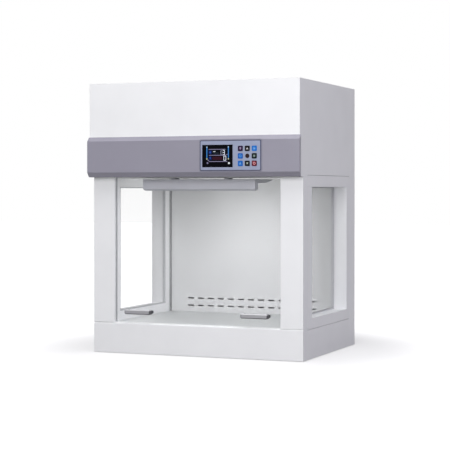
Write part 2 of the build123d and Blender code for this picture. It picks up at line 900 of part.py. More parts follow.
with BuildPart() as hepa_frame:
    with BuildSketch(Plane.XY.offset(z_hepa)):
        with Locations((0, y_stack)):
            Rectangle(2 * x_stack, stack_depth)
            Rectangle(
                2 * (x_stack - hepa_wall),
                stack_depth - 2 * hepa_wall,
                mode=Mode.SUBTRACT,
            )
    extrude(amount=hepa_height)
save(hepa_frame, "hepa_frame")

# Pleated filter paper: one zigzag sheet from side to side of its frame.
pleat_span = 2 * (x_stack - hepa_wall)
pleat_folds = 2 * int(pleat_span / pleat_pitch)
pleat_step = pleat_span / pleat_folds
z_pleat = z_hepa + (hepa_height - pleat_depth - pleat_sheet) / 2
fold_line = [
    (-pleat_span / 2 + fold * pleat_step, z_pleat + (fold % 2) * pleat_depth)
    for fold in range(pleat_folds + 1)
]
with BuildPart() as hepa_pleats:
    with BuildSketch(Plane.XZ.offset(-(y_stack_rear - hepa_wall))):
        Polygon(
            *fold_line,
            *[(x, z + pleat_sheet) for x, z in reversed(fold_line)],
            align=None,
        )
    extrude(amount=stack_depth - 2 * hepa_wall)
save(hepa_pleats, "hepa_pleats")

with BuildPart() as filter_gasket:
    with BuildSketch(Plane.XY.offset(z_gasket)):
        with Locations((0, y_stack)):
            Rectangle(2 * x_stack, stack_depth)
            Rectangle(
                2 * (x_stack - gasket_width),
                stack_depth - 2 * gasket_width,
                mode=Mode.SUBTRACT,
            )
    extrude(amount=gasket_thick)
save(filter_gasket, "filter_gasket")

# Slotted ceiling under the filter, hung from the shelves by its turned-up edge.
diffuser_columns = 6
diffuser_rows = 12
diffuser_slot = 70.0
diffuser_slot_width = 8.0
diffuser_margin = 34.0
with BuildPart() as diffuser_plate:
    with BuildSketch(Plane.XY.offset(z_ceiling)):
        with Locations((0, y_stack)):
            Rectangle(2 * x_stack, stack_depth)
    extrude(amount=z_filter_rail - z_ceiling)
    with BuildSketch(Plane.XY.offset(z_ceiling + sheet)):
        with Locations((0, y_stack)):
            Rectangle(2 * (x_stack - sheet), stack_depth - 2 * sheet)
    extrude(amount=z_filter_rail - z_ceiling, mode=Mode.SUBTRACT)
    with BuildSketch(Plane.XY.offset(z_ceiling)):
        with Locations((0, y_stack)):
            with GridLocations(
                2 * (x_stack - diffuser_margin - diffuser_slot / 2)
                / (diffuser_columns - 1),
                (stack_depth - 2 * diffuser_margin) / (diffuser_rows - 1),
                diffuser_columns,
                diffuser_rows,
            ):
                Rectangle(diffuser_slot, diffuser_slot_width)
    extrude(amount=sheet, mode=Mode.SUBTRACT)
    # The front corners are notched round the pillars.
    with BuildSketch(Plane.XY.offset(z_ceiling)):
        for side in (-1, 1):
            with Locations((side * x_stack, y_stack_front)):
                Rectangle(
                    2 * (x_stack - x_pillar + panel_gap),
                    2 * (y_window_front + panel_gap - y_stack_front),
                )
    extrude(amount=z_filter_rail - z_ceiling, mode=Mode.SUBTRACT)
save(diffuser_plate, "diffuser_plate")

# ---------------------------------------------------------------------------
# Plenum and fan
# ---------------------------------------------------------------------------

with BuildPart() as plenum_box:
    with BuildSketch(Plane.XY.offset(z_plenum)):
        with Locations((0, y_stack)):
            Rectangle(2 * x_stack, stack_depth)
    extrude(amount=plenum_height)
    with BuildSketch(Plane.XY.offset(z_plenum + sheet)):
        with Locations((0, y_stack)):
            Rectangle(2 * (x_stack - sheet), stack_depth - 2 * sheet)
    extrude(amount=plenum_height - 2 * sheet, mode=Mode.SUBTRACT)
    with BuildSketch(Plane.XY.offset(z_plenum)):
        with Locations((0, y_stack)):
            Rectangle(
                2 * (x_stack - plenum_flange), stack_depth - 2 * plenum_flange
            )
    extrude(amount=sheet, mode=Mode.SUBTRACT)
    with BuildSketch(Plane.XY.offset(z_deck)):
        with Locations((0, y_stack)):
            Circle(throat_radius + bell_radius)
    extrude(amount=-sheet, mode=Mode.SUBTRACT)
save(plenum_box, "plenum_box")

fan_section = Plane(origin=(0, y_stack, 0), x_dir=(1, 0, 0), z_dir=(0, -1, 0))
fan_shaft = Axis((0, y_stack, 0), (0, 0, 1))

# Bell mouth that leads the air into the eye of the wheel.
bell_line = [
    (throat_radius + bell_radius + plenum_flange, z_ring),
    (throat_radius + bell_radius, z_ring),
    (throat_radius, z_ring - bell_radius),
    (throat_radius, z_throat),
]
with BuildPart() as inlet_ring:
    with BuildSketch(fan_section):
        Polygon(
            *bell_line,
            *[(radius + sheet, z) for radius, z in reversed(bell_line[2:])],
            (throat_radius + bell_radius, z_ring - sheet),
            (throat_radius + bell_radius + plenum_flange, z_ring - sheet),
            align=None,
        )
    revolve(axis=fan_shaft)
save(inlet_ring, "inlet_ring")

# Backward-curved fan wheel on the rotor cup of its motor.
z_shroud = z_wheel_top - wheel_lip - wheel_fall
with BuildPart() as impeller:
    with BuildSketch(Plane.XY.offset(z_wheel + wheel_sheet)):
        with Locations((0, y_stack)):
            with PolarLocations(0, blade_count):
                with BuildLine():
                    blade_out = (
                        (wheel_radius - wheel_sheet) * cos(radians(-blade_sweep)),
                        (wheel_radius - wheel_sheet) * sin(radians(-blade_sweep)),
                    )
                    RadiusArc(
                        (blade_inner_radius, 0), blade_out, wheel_radius * 0.9
                    )
                trace(line_width=wheel_sheet)
    extrude(amount=wheel_height - 2 * wheel_sheet)
    # The blades are cut off level in the eye and along the fall of the shroud.
    with BuildSketch(fan_section):
        Polygon(
            (0, z_wheel_top + wheel_lip),
            (0, z_wheel_top - wheel_lip),
            (eye_radius, z_wheel_top - wheel_lip),
            (wheel_radius, z_shroud),
            (2 * wheel_radius, z_shroud),
            (2 * wheel_radius, z_wheel_top + wheel_lip),
            align=None,
        )
    revolve(axis=fan_shaft, mode=Mode.SUBTRACT)
    # Shroud, back plate and rotor cup.
    with BuildSketch(fan_section):
        Polygon(
            (eye_radius, z_wheel_top),
            (eye_radius, z_wheel_top - wheel_lip),
            (wheel_radius, z_shroud),
            (wheel_radius, z_shroud - wheel_sheet),
            (eye_radius - sheet, z_wheel_top - wheel_lip - wheel_sheet),
            (eye_radius - sheet, z_wheel_top),
            align=None,
        )
    revolve(axis=fan_shaft)
    with BuildSketch(fan_section):
        Polygon(
            (wheel_radius, z_wheel),
            (wheel_radius, z_wheel + wheel_sheet),
            (rotor_radius, z_wheel + wheel_sheet),
            (rotor_radius, z_wheel + rotor_height),
            (axle_radius + axle_play, z_wheel + rotor_height),
            (axle_radius + axle_play, z_wheel + rotor_height - rotor_crown),
            (rotor_radius - wheel_sheet, z_wheel + rotor_height - rotor_crown),
            (rotor_radius - wheel_sheet, z_wheel),
            align=None,
        )
    revolve(axis=fan_shaft)
save(impeller, "impeller")

# Fixed half of the external-rotor motor: flange, windings and axle.
with BuildPart() as fan_motor:
    with BuildSketch(Plane.XY.offset(z_bridge)):
        with Locations((0, y_stack)):
            Circle(stator_radius)
    extrude(amount=stator_height)
    with BuildSketch(Plane.XY.offset(z_bridge)):
        with Locations((0, y_stack)):
            Circle(axle_radius)
    extrude(amount=stator_height + rotor_height - wheel_gap)
save(fan_motor, "fan_motor")

# Bridge from the front wall to the rear wall of the plenum, under the motor.
with BuildPart() as motor_bridge:
    bridge_height = z_bridge - z_plenum - sheet
    with BuildSketch(Plane.XZ.offset(-(y_stack_rear - sheet))):
        with Locations((0, z_bridge)):
            Rectangle(bridge_width, bridge_height, align=(Align.CENTER, Align.MAX))
            with Locations((0, -sheet)):
                Rectangle(
                    bridge_width - 2 * sheet,
                    bridge_height,
                    align=(Align.CENTER, Align.MAX),
                    mode=Mode.SUBTRACT,
                )
        with Locations((0, z_bridge - bridge_height)):
            with GridLocations(bridge_width + plenum_flange - 2 * sheet, 0, 2, 1):
                Rectangle(plenum_flange, sheet, align=(Align.CENTER, Align.MIN))
    extrude(amount=stack_depth - 2 * sheet)
save(motor_bridge, "motor_bridge")

# ---------------------------------------------------------------------------
# Electrics
# ---------------------------------------------------------------------------

with BuildPart() as electrical_box:
    with BuildSketch(Plane.XY.offset(z_deck)):
        with Locations((-x_stack, y_stack_rear)):
            Rectangle(box_width, box_depth, align=(Align.MIN, Align.MAX))
    extrude(amount=box_height)
save(electrical_box, "electrical_box")

# Mains inlet for a plug-in cord: flange, shroud and three flat pins.
with BuildPart() as power_inlet:
    with BuildSketch(Plane.XZ.offset(-y_rear)):
        with Locations((inlet_x, inlet_z)):
            RectangleRounded(inlet_width, inlet_height, plate_corner)
    extrude(amount=-inlet_flange)
    with BuildSketch(Plane.XZ.offset(-y_rear)):
        with Locations((inlet_x, inlet_z)):
            Rectangle(
                socket_width + 2 * inlet_flange, socket_height + 2 * inlet_flange
            )
    extrude(amount=inlet_body_depth)
    with BuildSketch(Plane.XZ.offset(-(y_rear + inlet_flange))):
        with Locations((inlet_x, inlet_z)):
            Rectangle(socket_width, socket_height)
    extrude(amount=socket_depth, mode=Mode.SUBTRACT)
    with BuildSketch(Plane.XZ.offset(-(y_rear + inlet_flange - socket_depth))):
        with Locations(
            (inlet_x - pin_pitch / 2, inlet_z - pin_width / 2),
            (inlet_x + pin_pitch / 2, inlet_z - pin_width / 2),
            (inlet_x, inlet_z + pin_width / 2),
        ):
            Rectangle(pin_thick, pin_width)
    extrude(amount=-pin_reach)
save(power_inlet, "power_inlet")

# ---------------------------------------------------------------------------
# Work lamp
# ---------------------------------------------------------------------------

shade_length = tube_length + 2 * shade_end_room
y_shade = y_front + shade_setback
z_shade = z_ceiling - shade_gap
with BuildPart() as lamp_shade:
    # Closed lip along the front edge, its lower edges chamfered all round.
    with BuildSketch(Plane.XY.offset(z_shade)):
        with Locations((0, y_shade)):
            Rectangle(shade_length, lip_depth, align=(Align.CENTER, Align.MIN))
    extrude(amount=-lip_height)
    chamfer(lamp_shade.faces().sort_by(Axis.Z)[0].edges(), length=lip_chamfer)
    offset(amount=-shade_sheet, openings=lamp_shade.faces().sort_by(Axis.Z)[-1])
    # Reflector top that closes the lip, and the two end plates.
    with BuildSketch(Plane.XY.offset(z_shade)):
        with Locations((0, y_shade)):
            Rectangle(shade_length, shade_depth, align=(Align.CENTER, Align.MIN))
    extrude(amount=-shade_sheet)
    for side in (-1, 1):
        with BuildSketch(Plane.YZ.offset(side * shade_length / 2)):
            with BuildLine():
                edge = Line(
                    (y_shade + lip_depth - shade_sheet, z_shade - shade_end_height),
                    (y_shade + lip_depth - shade_sheet, z_shade),
                )
                top = Line(edge @ 1, (y_shade + shade_depth, z_shade))
                rear = Line(top @ 1, (y_shade + shade_depth, z_shade - 2 * shade_sheet))
                Polyline(
                    rear @ 1,
                    (y_shade + shade_depth * 0.85, z_shade - shade_end_height * 0.5),
                    (y_shade + shade_depth * 0.6, z_shade - shade_end_height * 0.88),
                    edge @ 0,
                )
            make_face()
        extrude(amount=-side * shade_sheet)
save(lamp_shade, "lamp_shade")

# Two box-section brackets between the shade and the ceiling.
with BuildPart() as lamp_brackets:
    for side in (-1, 1):
        with BuildSketch(
            Plane.YZ.offset(side * (shade_length / 2 - bracket_from_end))
        ):
            with Locations((y_shade + bracket_setback, z_shade)):
                Rectangle(bracket_length, shade_gap, align=(Align.CENTER, Align.MIN))
                with Locations((0, shade_sheet)):
                    Rectangle(
                        bracket_length - 2 * shade_sheet,
                        shade_gap - 2 * shade_sheet,
                        align=(Align.CENTER, Align.MIN),
                        mode=Mode.SUBTRACT,
                    )
        extrude(amount=bracket_width / 2, both=True)
save(lamp_brackets, "lamp_brackets")

y_tube = y_shade + lip_depth + tube_radius + 2 * tube_drop
z_tube = z_shade - shade_sheet - tube_drop - tube_radius
for name, place in (("lamp_tube", 0), ("uv_tube", 1)):
    with BuildPart() as tube:
        with BuildSketch(Plane.YZ):
            with Locations((y_tube + place * tube_pitch, z_tube)):
                Circle(tube_radius)
        extrude(amount=tube_length / 2, both=True)
    save(tube, name)

with BuildPart() as lamp_holders:
    with BuildSketch(Plane.XY.offset(z_shade - shade_sheet)):
        with Locations((0, y_tube + tube_pitch / 2)):
            with GridLocations(tube_length + holder_thick, tube_pitch, 2, 2):
                Rectangle(holder_thick, holder_width)
    extrude(amount=-(tube_drop + 2 * tube_radius))
save(lamp_holders, "lamp_holders")
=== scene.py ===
# %% [markdown]
# # A bench-top laminar flow hood
# The real thing is a cabinet of folded and powder-coated steel sheet. Its head holds
# a fan and a filter, and clean air falls into a glazed work chamber below. This
# lesson loads the engineered model of the hood as a fixed frame, gives each of its
# pieces the finish of the real one, and adds the small things that only the eye
# needs: lit graphics, key symbols, tube caps and screw recesses. Some colours are
# painted light and shade: the handles' tones, the dark line round the control plate
# and dark strips of painted shadow in the rear corners.

# %% Load the frame
import bpy
import math
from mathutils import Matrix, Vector


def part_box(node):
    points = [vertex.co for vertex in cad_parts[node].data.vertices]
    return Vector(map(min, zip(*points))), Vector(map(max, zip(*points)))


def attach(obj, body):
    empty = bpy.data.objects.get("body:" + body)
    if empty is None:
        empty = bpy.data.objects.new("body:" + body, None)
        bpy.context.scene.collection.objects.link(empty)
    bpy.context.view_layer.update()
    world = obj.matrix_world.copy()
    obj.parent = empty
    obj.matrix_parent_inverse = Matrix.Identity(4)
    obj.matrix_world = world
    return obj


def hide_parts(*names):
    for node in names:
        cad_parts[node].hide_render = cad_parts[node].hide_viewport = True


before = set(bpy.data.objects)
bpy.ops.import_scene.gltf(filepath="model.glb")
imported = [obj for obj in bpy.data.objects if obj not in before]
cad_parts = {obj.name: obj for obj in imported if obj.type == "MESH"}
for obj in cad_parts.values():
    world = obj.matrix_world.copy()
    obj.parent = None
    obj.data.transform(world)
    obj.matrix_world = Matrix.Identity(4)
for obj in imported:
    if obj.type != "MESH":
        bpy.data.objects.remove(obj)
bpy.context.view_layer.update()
MM = 0.001
bpy.ops.object.select_all(action="DESELECT")

# %% [markdown]
# ## Colour and node helpers
# Paint charts and screens give colours as sRGB hex, while shaders work in linear
# light, so one function turns the one into the other. A second one adds a shader
# node with its settings and links, which keeps each recipe below short enough to
# read as a list of what the finish is made of.


# %% Helpers for finishes
def linear(hex_colour):
    """Turn an sRGB hex colour into the linear values that shaders use."""
    parts = [int(hex_colour[i : i + 2], 16) / 255 for i in (1, 3, 5)]
    return [
        *(p / 12.92 if p <= 0.04045 else ((p + 0.055) / 1.055) ** 2.4 for p in parts),
        1.0,
    ]


def add(tree, kind, feeds=None, **settings):
    """Add one shader node; a feed is a plain value or another node's output."""
    made = tree.nodes.new("ShaderNode" + kind)
    for name, value in settings.items():
        setattr(made, name, value)
    for name, value in (feeds or {}).items():
        if isinstance(value, bpy.types.NodeSocket):
            tree.links.new(value, made.inputs[name])
        else:
            made.inputs[name].default_value = value
    return made


def finish(name, colour, **sockets):
    """Start a material and return it with its node tree and its main shader."""
    made = bpy.data.materials.new(name)
    made.use_nodes = True
    shader = made.node_tree.nodes["Principled BSDF"]
    shader.inputs["Base Color"].default_value = linear(colour)
    for socket, value in sockets.items():
        shader.inputs[socket.replace("_", " ")].default_value = value
    return made, made.node_tree, shader


def ramp(tree, factor, low, high, start=0.35, end=0.65):
    """Colour that runs between two hex tones as its factor runs from start to end."""
    made = add(tree, "ValToRGB", {"Fac": factor})
    for stop, tone, place in zip(made.color_ramp.elements, (low, high), (start, end)):
        stop.color = linear(tone)
        stop.position = place
    return made.outputs["Color"]


def dress(material, *names):
    """Give CAD nodes a finish in place of the plain one they were packed with."""
    for name in names:
        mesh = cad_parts[name].data
        mesh.materials.clear()
        mesh.materials.append(material)
    print(material.name, "on", len(names), "pieces")


# %% [markdown]
# ## Powder-coated steel
# Powder coat is a baked plastic skin on the sheet. It is satin, it flows into a
# faint orange peel with waves a millimetre or two across, and it rounds every
# folded edge, which then catches a thin line of light. Real bevels on loose CAD
# triangles would tear them, so a Bevel node rounds the normals instead.


# %% Powder coat
DUST_SCALE = 9.0  # per metre, so patches are about 11 cm across


def powder_coat(name, colour, dust, roughness=0.42, edge=1.3 * MM, peel=1.6 * MM):
    """Satin powder coat: orange peel, rounded folds and a trace of dust in its tone."""
    made, tree, shader = finish(name, colour)
    place = add(tree, "TexCoord").outputs["Object"]
    tone = add(tree, "TexNoise", {"Vector": place, "Scale": DUST_SCALE, "Detail": 3.0})
    tree.links.new(
        ramp(tree, tone.outputs["Fac"], dust, colour), shader.inputs["Base Color"]
    )
    waves = add(tree, "TexNoise", {"Vector": place, "Scale": 1 / peel, "Detail": 1.0})
    sheen = add(
        tree,
        "MapRange",
        {
            "Value": waves.outputs["Fac"],
            "To Min": roughness - 0.03,
            "To Max": roughness + 0.04,
        },
    )
    tree.links.new(sheen.outputs["Result"], shader.inputs["Roughness"])
    fold = add(tree, "Bevel", {"Radius": edge}, samples=6)
    bump = add(
        tree,
        "Bump",
        {
            "Height": waves.outputs["Fac"],
            "Strength": 0.10,
            "Distance": 0.05 * MM,
            "Normal": fold.outputs["Normal"],
        },
    )
    tree.links.new(bump.outputs["Normal"], shader.inputs["Normal"])
    return made


# %% Coats on their pieces
HANDS = ("left", "right")
white_coat = powder_coat("white powder coat", "#F2F3F3", "#EFF0F0")
chamber_coat = powder_coat("soft white powder coat", "#EFEFEF", "#ECECEC")
back_coat = powder_coat("pale grey powder coat", "#CCCDCD", "#C9CACA")
band_coat = powder_coat(
    "lavender grey powder coat", "#908E9A", "#8D8B97", edge=1.0 * MM
)
lamp_coat = powder_coat("mid grey powder coat", "#B9BAC1", "#B6B7BE", edge=0.8 * MM)
PAIRED = ("side_skin", "pillar", "window_frame")
dress(
    white_coat,
    "front_apron",
    "head_front_panel",
    "top_cover",
    "rear_cover",
    *[f"{part}_{hand}" for part in PAIRED for hand in HANDS],
)
dress(chamber_coat, "diffuser_plate")
dress(back_coat, "back_panel")
dress(band_coat, "control_band")
dress(lamp_coat, "lamp_shade", "lamp_brackets")

# %% [markdown]
# ## Bare metals
# The tray is stainless sheet with a brushed grain, which runs along its length in
# hair-fine scratches. They are drawn about 0.7 mm apart, coarser than the real ones,
# because finer ones would vanish in the picture. The inner pieces are zinc-coated
# sheet with its crystal spangle, and the filter frame and the fan are aluminium.


# %% Brushed metal
def brushed(name, colour, pale, roughness, grain=0.7 * MM, along=(0.01, 1.0, 1.0)):
    """Brushed metal: streaks of tone and gloss that run along one axis."""
    made, tree, shader = finish(name, colour, Metallic=1.0)
    place = add(tree, "TexCoord").outputs["Object"]
    stretched = add(tree, "Mapping", {"Vector": place, "Scale": along})
    hairs = add(
        tree,
        "TexNoise",
        {"Vector": stretched.outputs["Vector"], "Scale": 1 / grain, "Detail": 2.0},
    )
    tree.links.new(
        ramp(tree, hairs.outputs["Fac"], colour, pale, 0.2, 0.8),
        shader.inputs["Base Color"],
    )
    gloss = add(
        tree,
        "MapRange",
        {
            "Value": hairs.outputs["Fac"],
            "To Min": roughness - 0.05,
            "To Max": roughness + 0.07,
        },
    )
    tree.links.new(gloss.outputs["Result"], shader.inputs["Roughness"])
    fold = add(tree, "Bevel", {"Radius": 0.8 * MM}, samples=4)
    bump = add(
        tree,
        "Bump",
        {
            "Height": hairs.outputs["Fac"],
            "Strength": 0.12,
            "Distance": 0.03 * MM,
            "Normal": fold.outputs["Normal"],
        },
    )
    tree.links.new(bump.outputs["Normal"], shader.inputs["Normal"])
    return made


def zinc_sheet(name="zinc-coated sheet", spangle=9 * MM):
    """Hot-dip zinc: crystals about a centimetre across, each with its own tone."""
    made, tree, shader = finish(name, "#B4B8BB", Metallic=1.0)
    place = add(tree, "TexCoord").outputs["Object"]
    crystal = add(tree, "TexVoronoi", {"Vector": place, "Scale": 1 / spangle})
    grey = add(tree, "RGBToBW", {"Color": crystal.outputs["Color"]})
    tree.links.new(
        ramp(tree, grey.outputs["Val"], "#A6ABAF", "#C2C6C8", 0.1, 0.9),
        shader.inputs["Base Color"],
    )
    gloss = add(
        tree,
        "MapRange",
        {"Value": grey.outputs["Val"], "To Min": 0.38, "To Max": 0.55},
    )
    tree.links.new(gloss.outputs["Result"], shader.inputs["Roughness"])
    return made


# %% Metals on their pieces
stainless = brushed("brushed stainless steel", "#D8DADA", "#E4E6E6", 0.5)
spun = brushed(
    "spun aluminium", "#A7ABAE", "#BDC1C3", 0.38, 0.5 * MM, (1.0, 1.0, 0.05)
)
extruded = brushed("extruded aluminium", "#BFC2C5", "#CFD2D4", 0.4, 0.5 * MM)
screw_steel = brushed(
    "stainless screw", "#B9BBBD", "#CBCDCF", 0.28, 0.4 * MM, (1, 1, 1)
)
dress(stainless, "work_tray")
dress(spun, "impeller", "inlet_ring")
dress(extruded, "hepa_frame")
dress(
    zinc_sheet(),
    "base_pan",
    "base_rails",
    "guide_brackets",
    "filter_rails",
    "plenum_box",
    "prefilter_holder",
    "motor_bridge",
    "electrical_box",
)

# %% [markdown]
# ## Toughened glass
# The panes are clear float glass with polished edges. Seen square on, they are
# almost nothing; towards grazing angles and in their thickness they show a grey
# green. Traced glass would keep the light out of the chamber, so each pane is a
# thin film whose cover grows with its Fresnel term, and fuller on its narrow edges.


# %% Glass
# Float glass gives the eye a clean view and a green-grey line wherever it ends.
def clear_pane(name="clear toughened glass", cover=0.01, graze=0.12, edge=0.6):
    """Near-invisible pane with a grey-green edge; the faces look along X or Y."""
    made, tree, shader = finish(name, "#F8FAF9", Roughness=0.03, IOR=1.52)
    facing = add(tree, "LayerWeight", {"Blend": 0.25})
    veil = add(
        tree,
        "MapRange",
        {"Value": facing.outputs["Facing"], "To Min": cover, "To Max": graze},
    )
    looks = add(tree, "TexCoord").outputs["Normal"]
    upright = add(tree, "SeparateXYZ", {"Vector": looks})
    sill = add(tree, "Math", {0: upright.outputs["Z"]}, operation="ABSOLUTE")
    rim = add(
        tree,
        "Math",
        {0: sill.outputs["Value"], 1: edge},
        operation="MULTIPLY",
    )
    alpha = add(
        tree,
        "Math",
        {0: veil.outputs["Result"], 1: rim.outputs["Value"]},
        operation="MAXIMUM",
    )
    tree.links.new(alpha.outputs["Value"], shader.inputs["Alpha"])
    return made


dress(clear_pane(), "sash_glass", *[f"side_pane_{hand}" for hand in HANDS])

# %% [markdown]
# ## Rubber and moulded plastic
# Seals, pads and feet are EPDM rubber, which is dull and takes a fine grain from its
# mould. The guides are a slippery grey plastic, the keys are hard gloss caps, and
# the overlay of the control panel is a printed film. One recipe serves them all,
# because they differ in tone, gloss and grain and not in what they are made of.


# %% Rubber, plastics, paper
MOTTLE_SCALE = 60.0  # per metre, so patches are about 17 mm across


def moulded(
    name,
    colour,
    worn,
    roughness,
    grain=0.6 * MM,
    depth=0.05 * MM,
    edge=0.4 * MM,
    shine=0.5,
):
    """Moulded or printed surface: fine grain, slightly uneven tone, eased edges."""
    made, tree, shader = finish(
        name, colour, Roughness=roughness, Specular_IOR_Level=shine
    )
    place = add(tree, "TexCoord").outputs["Object"]
    tone = add(tree, "TexNoise", {"Vector": place, "Scale": MOTTLE_SCALE, "Detail": 4.0})
    tree.links.new(
        ramp(tree, tone.outputs["Fac"], worn, colour), shader.inputs["Base Color"]
    )
    grit = add(tree, "TexNoise", {"Vector": place, "Scale": 1 / grain, "Detail": 2.0})
    ease = add(tree, "Bevel", {"Radius": edge}, samples=4)
    bump = add(
        tree,
        "Bump",
        {
            "Height": grit.outputs["Fac"],
            "Strength": 0.2,
            "Distance": depth,
            "Normal": ease.outputs["Normal"],
        },
    )
    tree.links.new(bump.outputs["Normal"], shader.inputs["Normal"])
    return made


# %% Moulded and printed finishes
seal_silicone = moulded("grey silicone seal", "#C9CACC", "#C2C3C5", 0.6)
rubber = moulded("dark grey EPDM rubber", "#515257", "#4A4B50", 0.72)
foot_rubber = moulded("black rubber", "#232427", "#1E1F22", 0.8)
foam = moulded("black foam rubber", "#2E2F31", "#262729", 0.9, 1.2 * MM, 0.2 * MM)
guide_plastic = moulded("grey acetal", "#D0D1D3", "#C9CACC", 0.45)
overlay = moulded(
    "pearl printed film", "#949CB5", "#9098B0", 0.34, 0.3 * MM, 0.01 * MM
)
# Painted shade: a dark ring that stands for the shadow in the gap round the control
# plate.
gap_shade_line = moulded("slate painted gap shadow", "#4A4D63", "#45485D", 0.5, shine=0.2)
# The display's glass has an anti-reflection coat, so it hardly mirrors the room.
screen_glass = moulded(
    "coated black display glass", "#03040A", "#05060E", 0.14, depth=0.0, shine=0.04
)
sensor_red = moulded(
    "dark red filter window", "#22060A", "#1C0508", 0.2, depth=0.0, shine=0.2
)
black_plastic = moulded("black nylon", "#17181A", "#131416", 0.5)
board_green = moulded("green circuit board", "#1F5B3B", "#1B5236", 0.4)
white_plastic = moulded("white lampholder plastic", "#EDEDEC", "#E6E6E5", 0.4)
motor_black = moulded("black motor enamel", "#2B2E32", "#26292D", 0.35)
filter_paper = moulded("glass-fibre filter paper", "#F3F2EE", "#EAE9E4", 0.9, 0.8 * MM)
# The fleece is laid fibre, so its grain is coarse and deep and it hardly shines.
fleece = moulded("white filter fleece", "#E4E6E6", "#D4D7D7", 0.95, 1.5 * MM, 0.8 * MM)
# Painted shade: a dark strip that stands for the shadow in the gaps at the rear corners.
joint_shadow = moulded("painted joint shadow", "#333335", "#2C2C2E", 0.8, shine=0.1)

# %% Plastics and rubber on their pieces
dress(seal_silicone, *[f"pane_seal_{hand}" for hand in HANDS])
dress(rubber, "handle_pads")
dress(foot_rubber, "levelling_feet")
dress(foam, "filter_gasket")
dress(guide_plastic, *[f"sash_guide_{hand}" for hand in HANDS])
dress(overlay, "control_plate")
dress(screen_glass, "display")
dress(sensor_red, "sensor_window")
dress(board_green, "control_board")
dress(black_plastic, "power_inlet")
dress(white_plastic, "lamp_holders")
dress(motor_black, "fan_motor")
dress(filter_paper, "hepa_pleats")
dress(fleece, "prefilter_mat")

# %% [markdown]
# ## Handles with painted light and shade
# The bow handles are anodised bars whose colour carries painted light and shade: a
# painted highlight along the top, a mid tone in front, and painted shade under them
# and at their ends. The direction that each face looks in picks the tone, so the
# mesh normal drives the colour ramp.


# %% Handles
END_SHADE = -0.8  # how far a face that looks sideways counts as looking down


def handle_metal_painted_light(name="satin anodised aluminium", hair=0.3 * MM):
    """Anodised bar with painted light: a painted highlight on top, a mid tone in front,
    painted shade below and at its ends.
    """
    made, tree, shader = finish(name, "#A0A1A4", Metallic=0.35, Roughness=0.4)
    coords = add(tree, "TexCoord")
    facing = add(tree, "SeparateXYZ", {"Vector": coords.outputs["Normal"]})
    ends = add(tree, "Math", {0: facing.outputs["X"]}, operation="ABSOLUTE")
    level = add(
        tree,
        "Math",
        {0: ends.outputs["Value"], 1: END_SHADE, 2: facing.outputs["Z"]},
        operation="MULTIPLY_ADD",
    )
    share = add(
        tree,
        "MapRange",
        {"Value": level.outputs["Value"], "From Min": -1, "From Max": 1},
    )
    # Painted light: faces that look up get a painted highlight, faces that look down or
    # sideways get painted shade.
    painted_light_tones = add(tree, "ValToRGB", {"Fac": share.outputs["Result"]})
    painted_light_bands = painted_light_tones.color_ramp.elements
    painted_light_bands[0].position, painted_light_bands[0].color = 0.22, linear("#4C4C4F")
    painted_light_bands[1].position, painted_light_bands[1].color = 0.8, linear("#C6C6C9")
    middle = painted_light_bands.new(0.5)
    middle.color = linear("#929295")
    tree.links.new(painted_light_tones.outputs["Color"], shader.inputs["Base Color"])
    along = add(
        tree, "Mapping", {"Vector": coords.outputs["Object"], "Scale": (0.02, 1, 1)}
    )
    hairs = add(
        tree, "TexNoise", {"Vector": along.outputs["Vector"], "Scale": 1 / hair}
    )
    bump = add(
        tree,
        "Bump",
        {"Height": hairs.outputs["Fac"], "Strength": 0.1, "Distance": 0.02 * MM},
    )
    tree.links.new(bump.outputs["Normal"], shader.inputs["Normal"])
    return made


dress(handle_metal_painted_light(), *[f"sash_handle_{hand}" for hand in HANDS])

# %% [markdown]
# ## Lamp tubes
# The work lamp is a fluorescent tube whose inside is coated with white phosphor. It
# is lit, so it glows. The germicidal tube next to it is bare quartz glass and is off,
# as it must be while anyone works here.


# %% Tube glass
LAMP_GLOW = 8.0
DIM_FROM, DIM_TO = 0.8, 0.4  # share of the half length, share of the glow left


def lit_phosphor(name="lit phosphor glass", glow=LAMP_GLOW):
    """White glowing tube that dims a little towards its ends."""
    made, tree, shader = finish(name, "#F4F6F8", Roughness=0.2)
    place = add(tree, "TexCoord").outputs["Object"]
    across = add(tree, "SeparateXYZ", {"Vector": place})
    reach = add(tree, "Math", {0: across.outputs["X"]}, operation="ABSOLUTE")
    tube_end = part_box("lamp_tube")[1].x
    fade = add(
        tree,
        "MapRange",
        {
            "Value": reach.outputs["Value"],
            "From Min": DIM_FROM * tube_end,
            "From Max": tube_end,
            "To Min": glow,
            "To Max": DIM_TO * glow,
        },
    )
    shader.inputs["Emission Color"].default_value = linear("#FBFCFF")
    tree.links.new(fade.outputs["Result"], shader.inputs["Emission Strength"])
    return made


dress(lit_phosphor(), "lamp_tube")
quartz = moulded("quartz tube glass", "#DCE4E8", "#D2DADF", 0.08, depth=0.0)
dress(quartz, "uv_tube")

# %% [markdown]
# ## Settling a new piece
# A finished piece keeps its place in its mesh and its object at the origin, as the
# CAD nodes do, and rides on the body that carries it. One helper does that for
# whatever is active, so every piece below ends with the same single line.


# %% Helper for pieces
def settle(name, material, body="cabinet"):
    """Freeze the active object into its mesh and hang it on a body of the frame."""
    piece = bpy.context.object
    bpy.ops.object.transform_apply(location=True, rotation=True, scale=True)
    for modifier in list(piece.modifiers):
        bpy.ops.object.modifier_apply(modifier=modifier.name)
    piece.name = name
    piece.data.name = name
    piece.data.materials.clear()
    piece.data.materials.append(material)
    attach(piece, body)
    bpy.ops.object.select_all(action="DESELECT")
    print(name, "has", len(piece.data.polygons), "faces")
    return piece


def edit_all():
    """Enter edit mode with the whole mesh selected."""
    bpy.ops.object.mode_set(mode="EDIT")
    bpy.ops.mesh.select_all(action="SELECT")


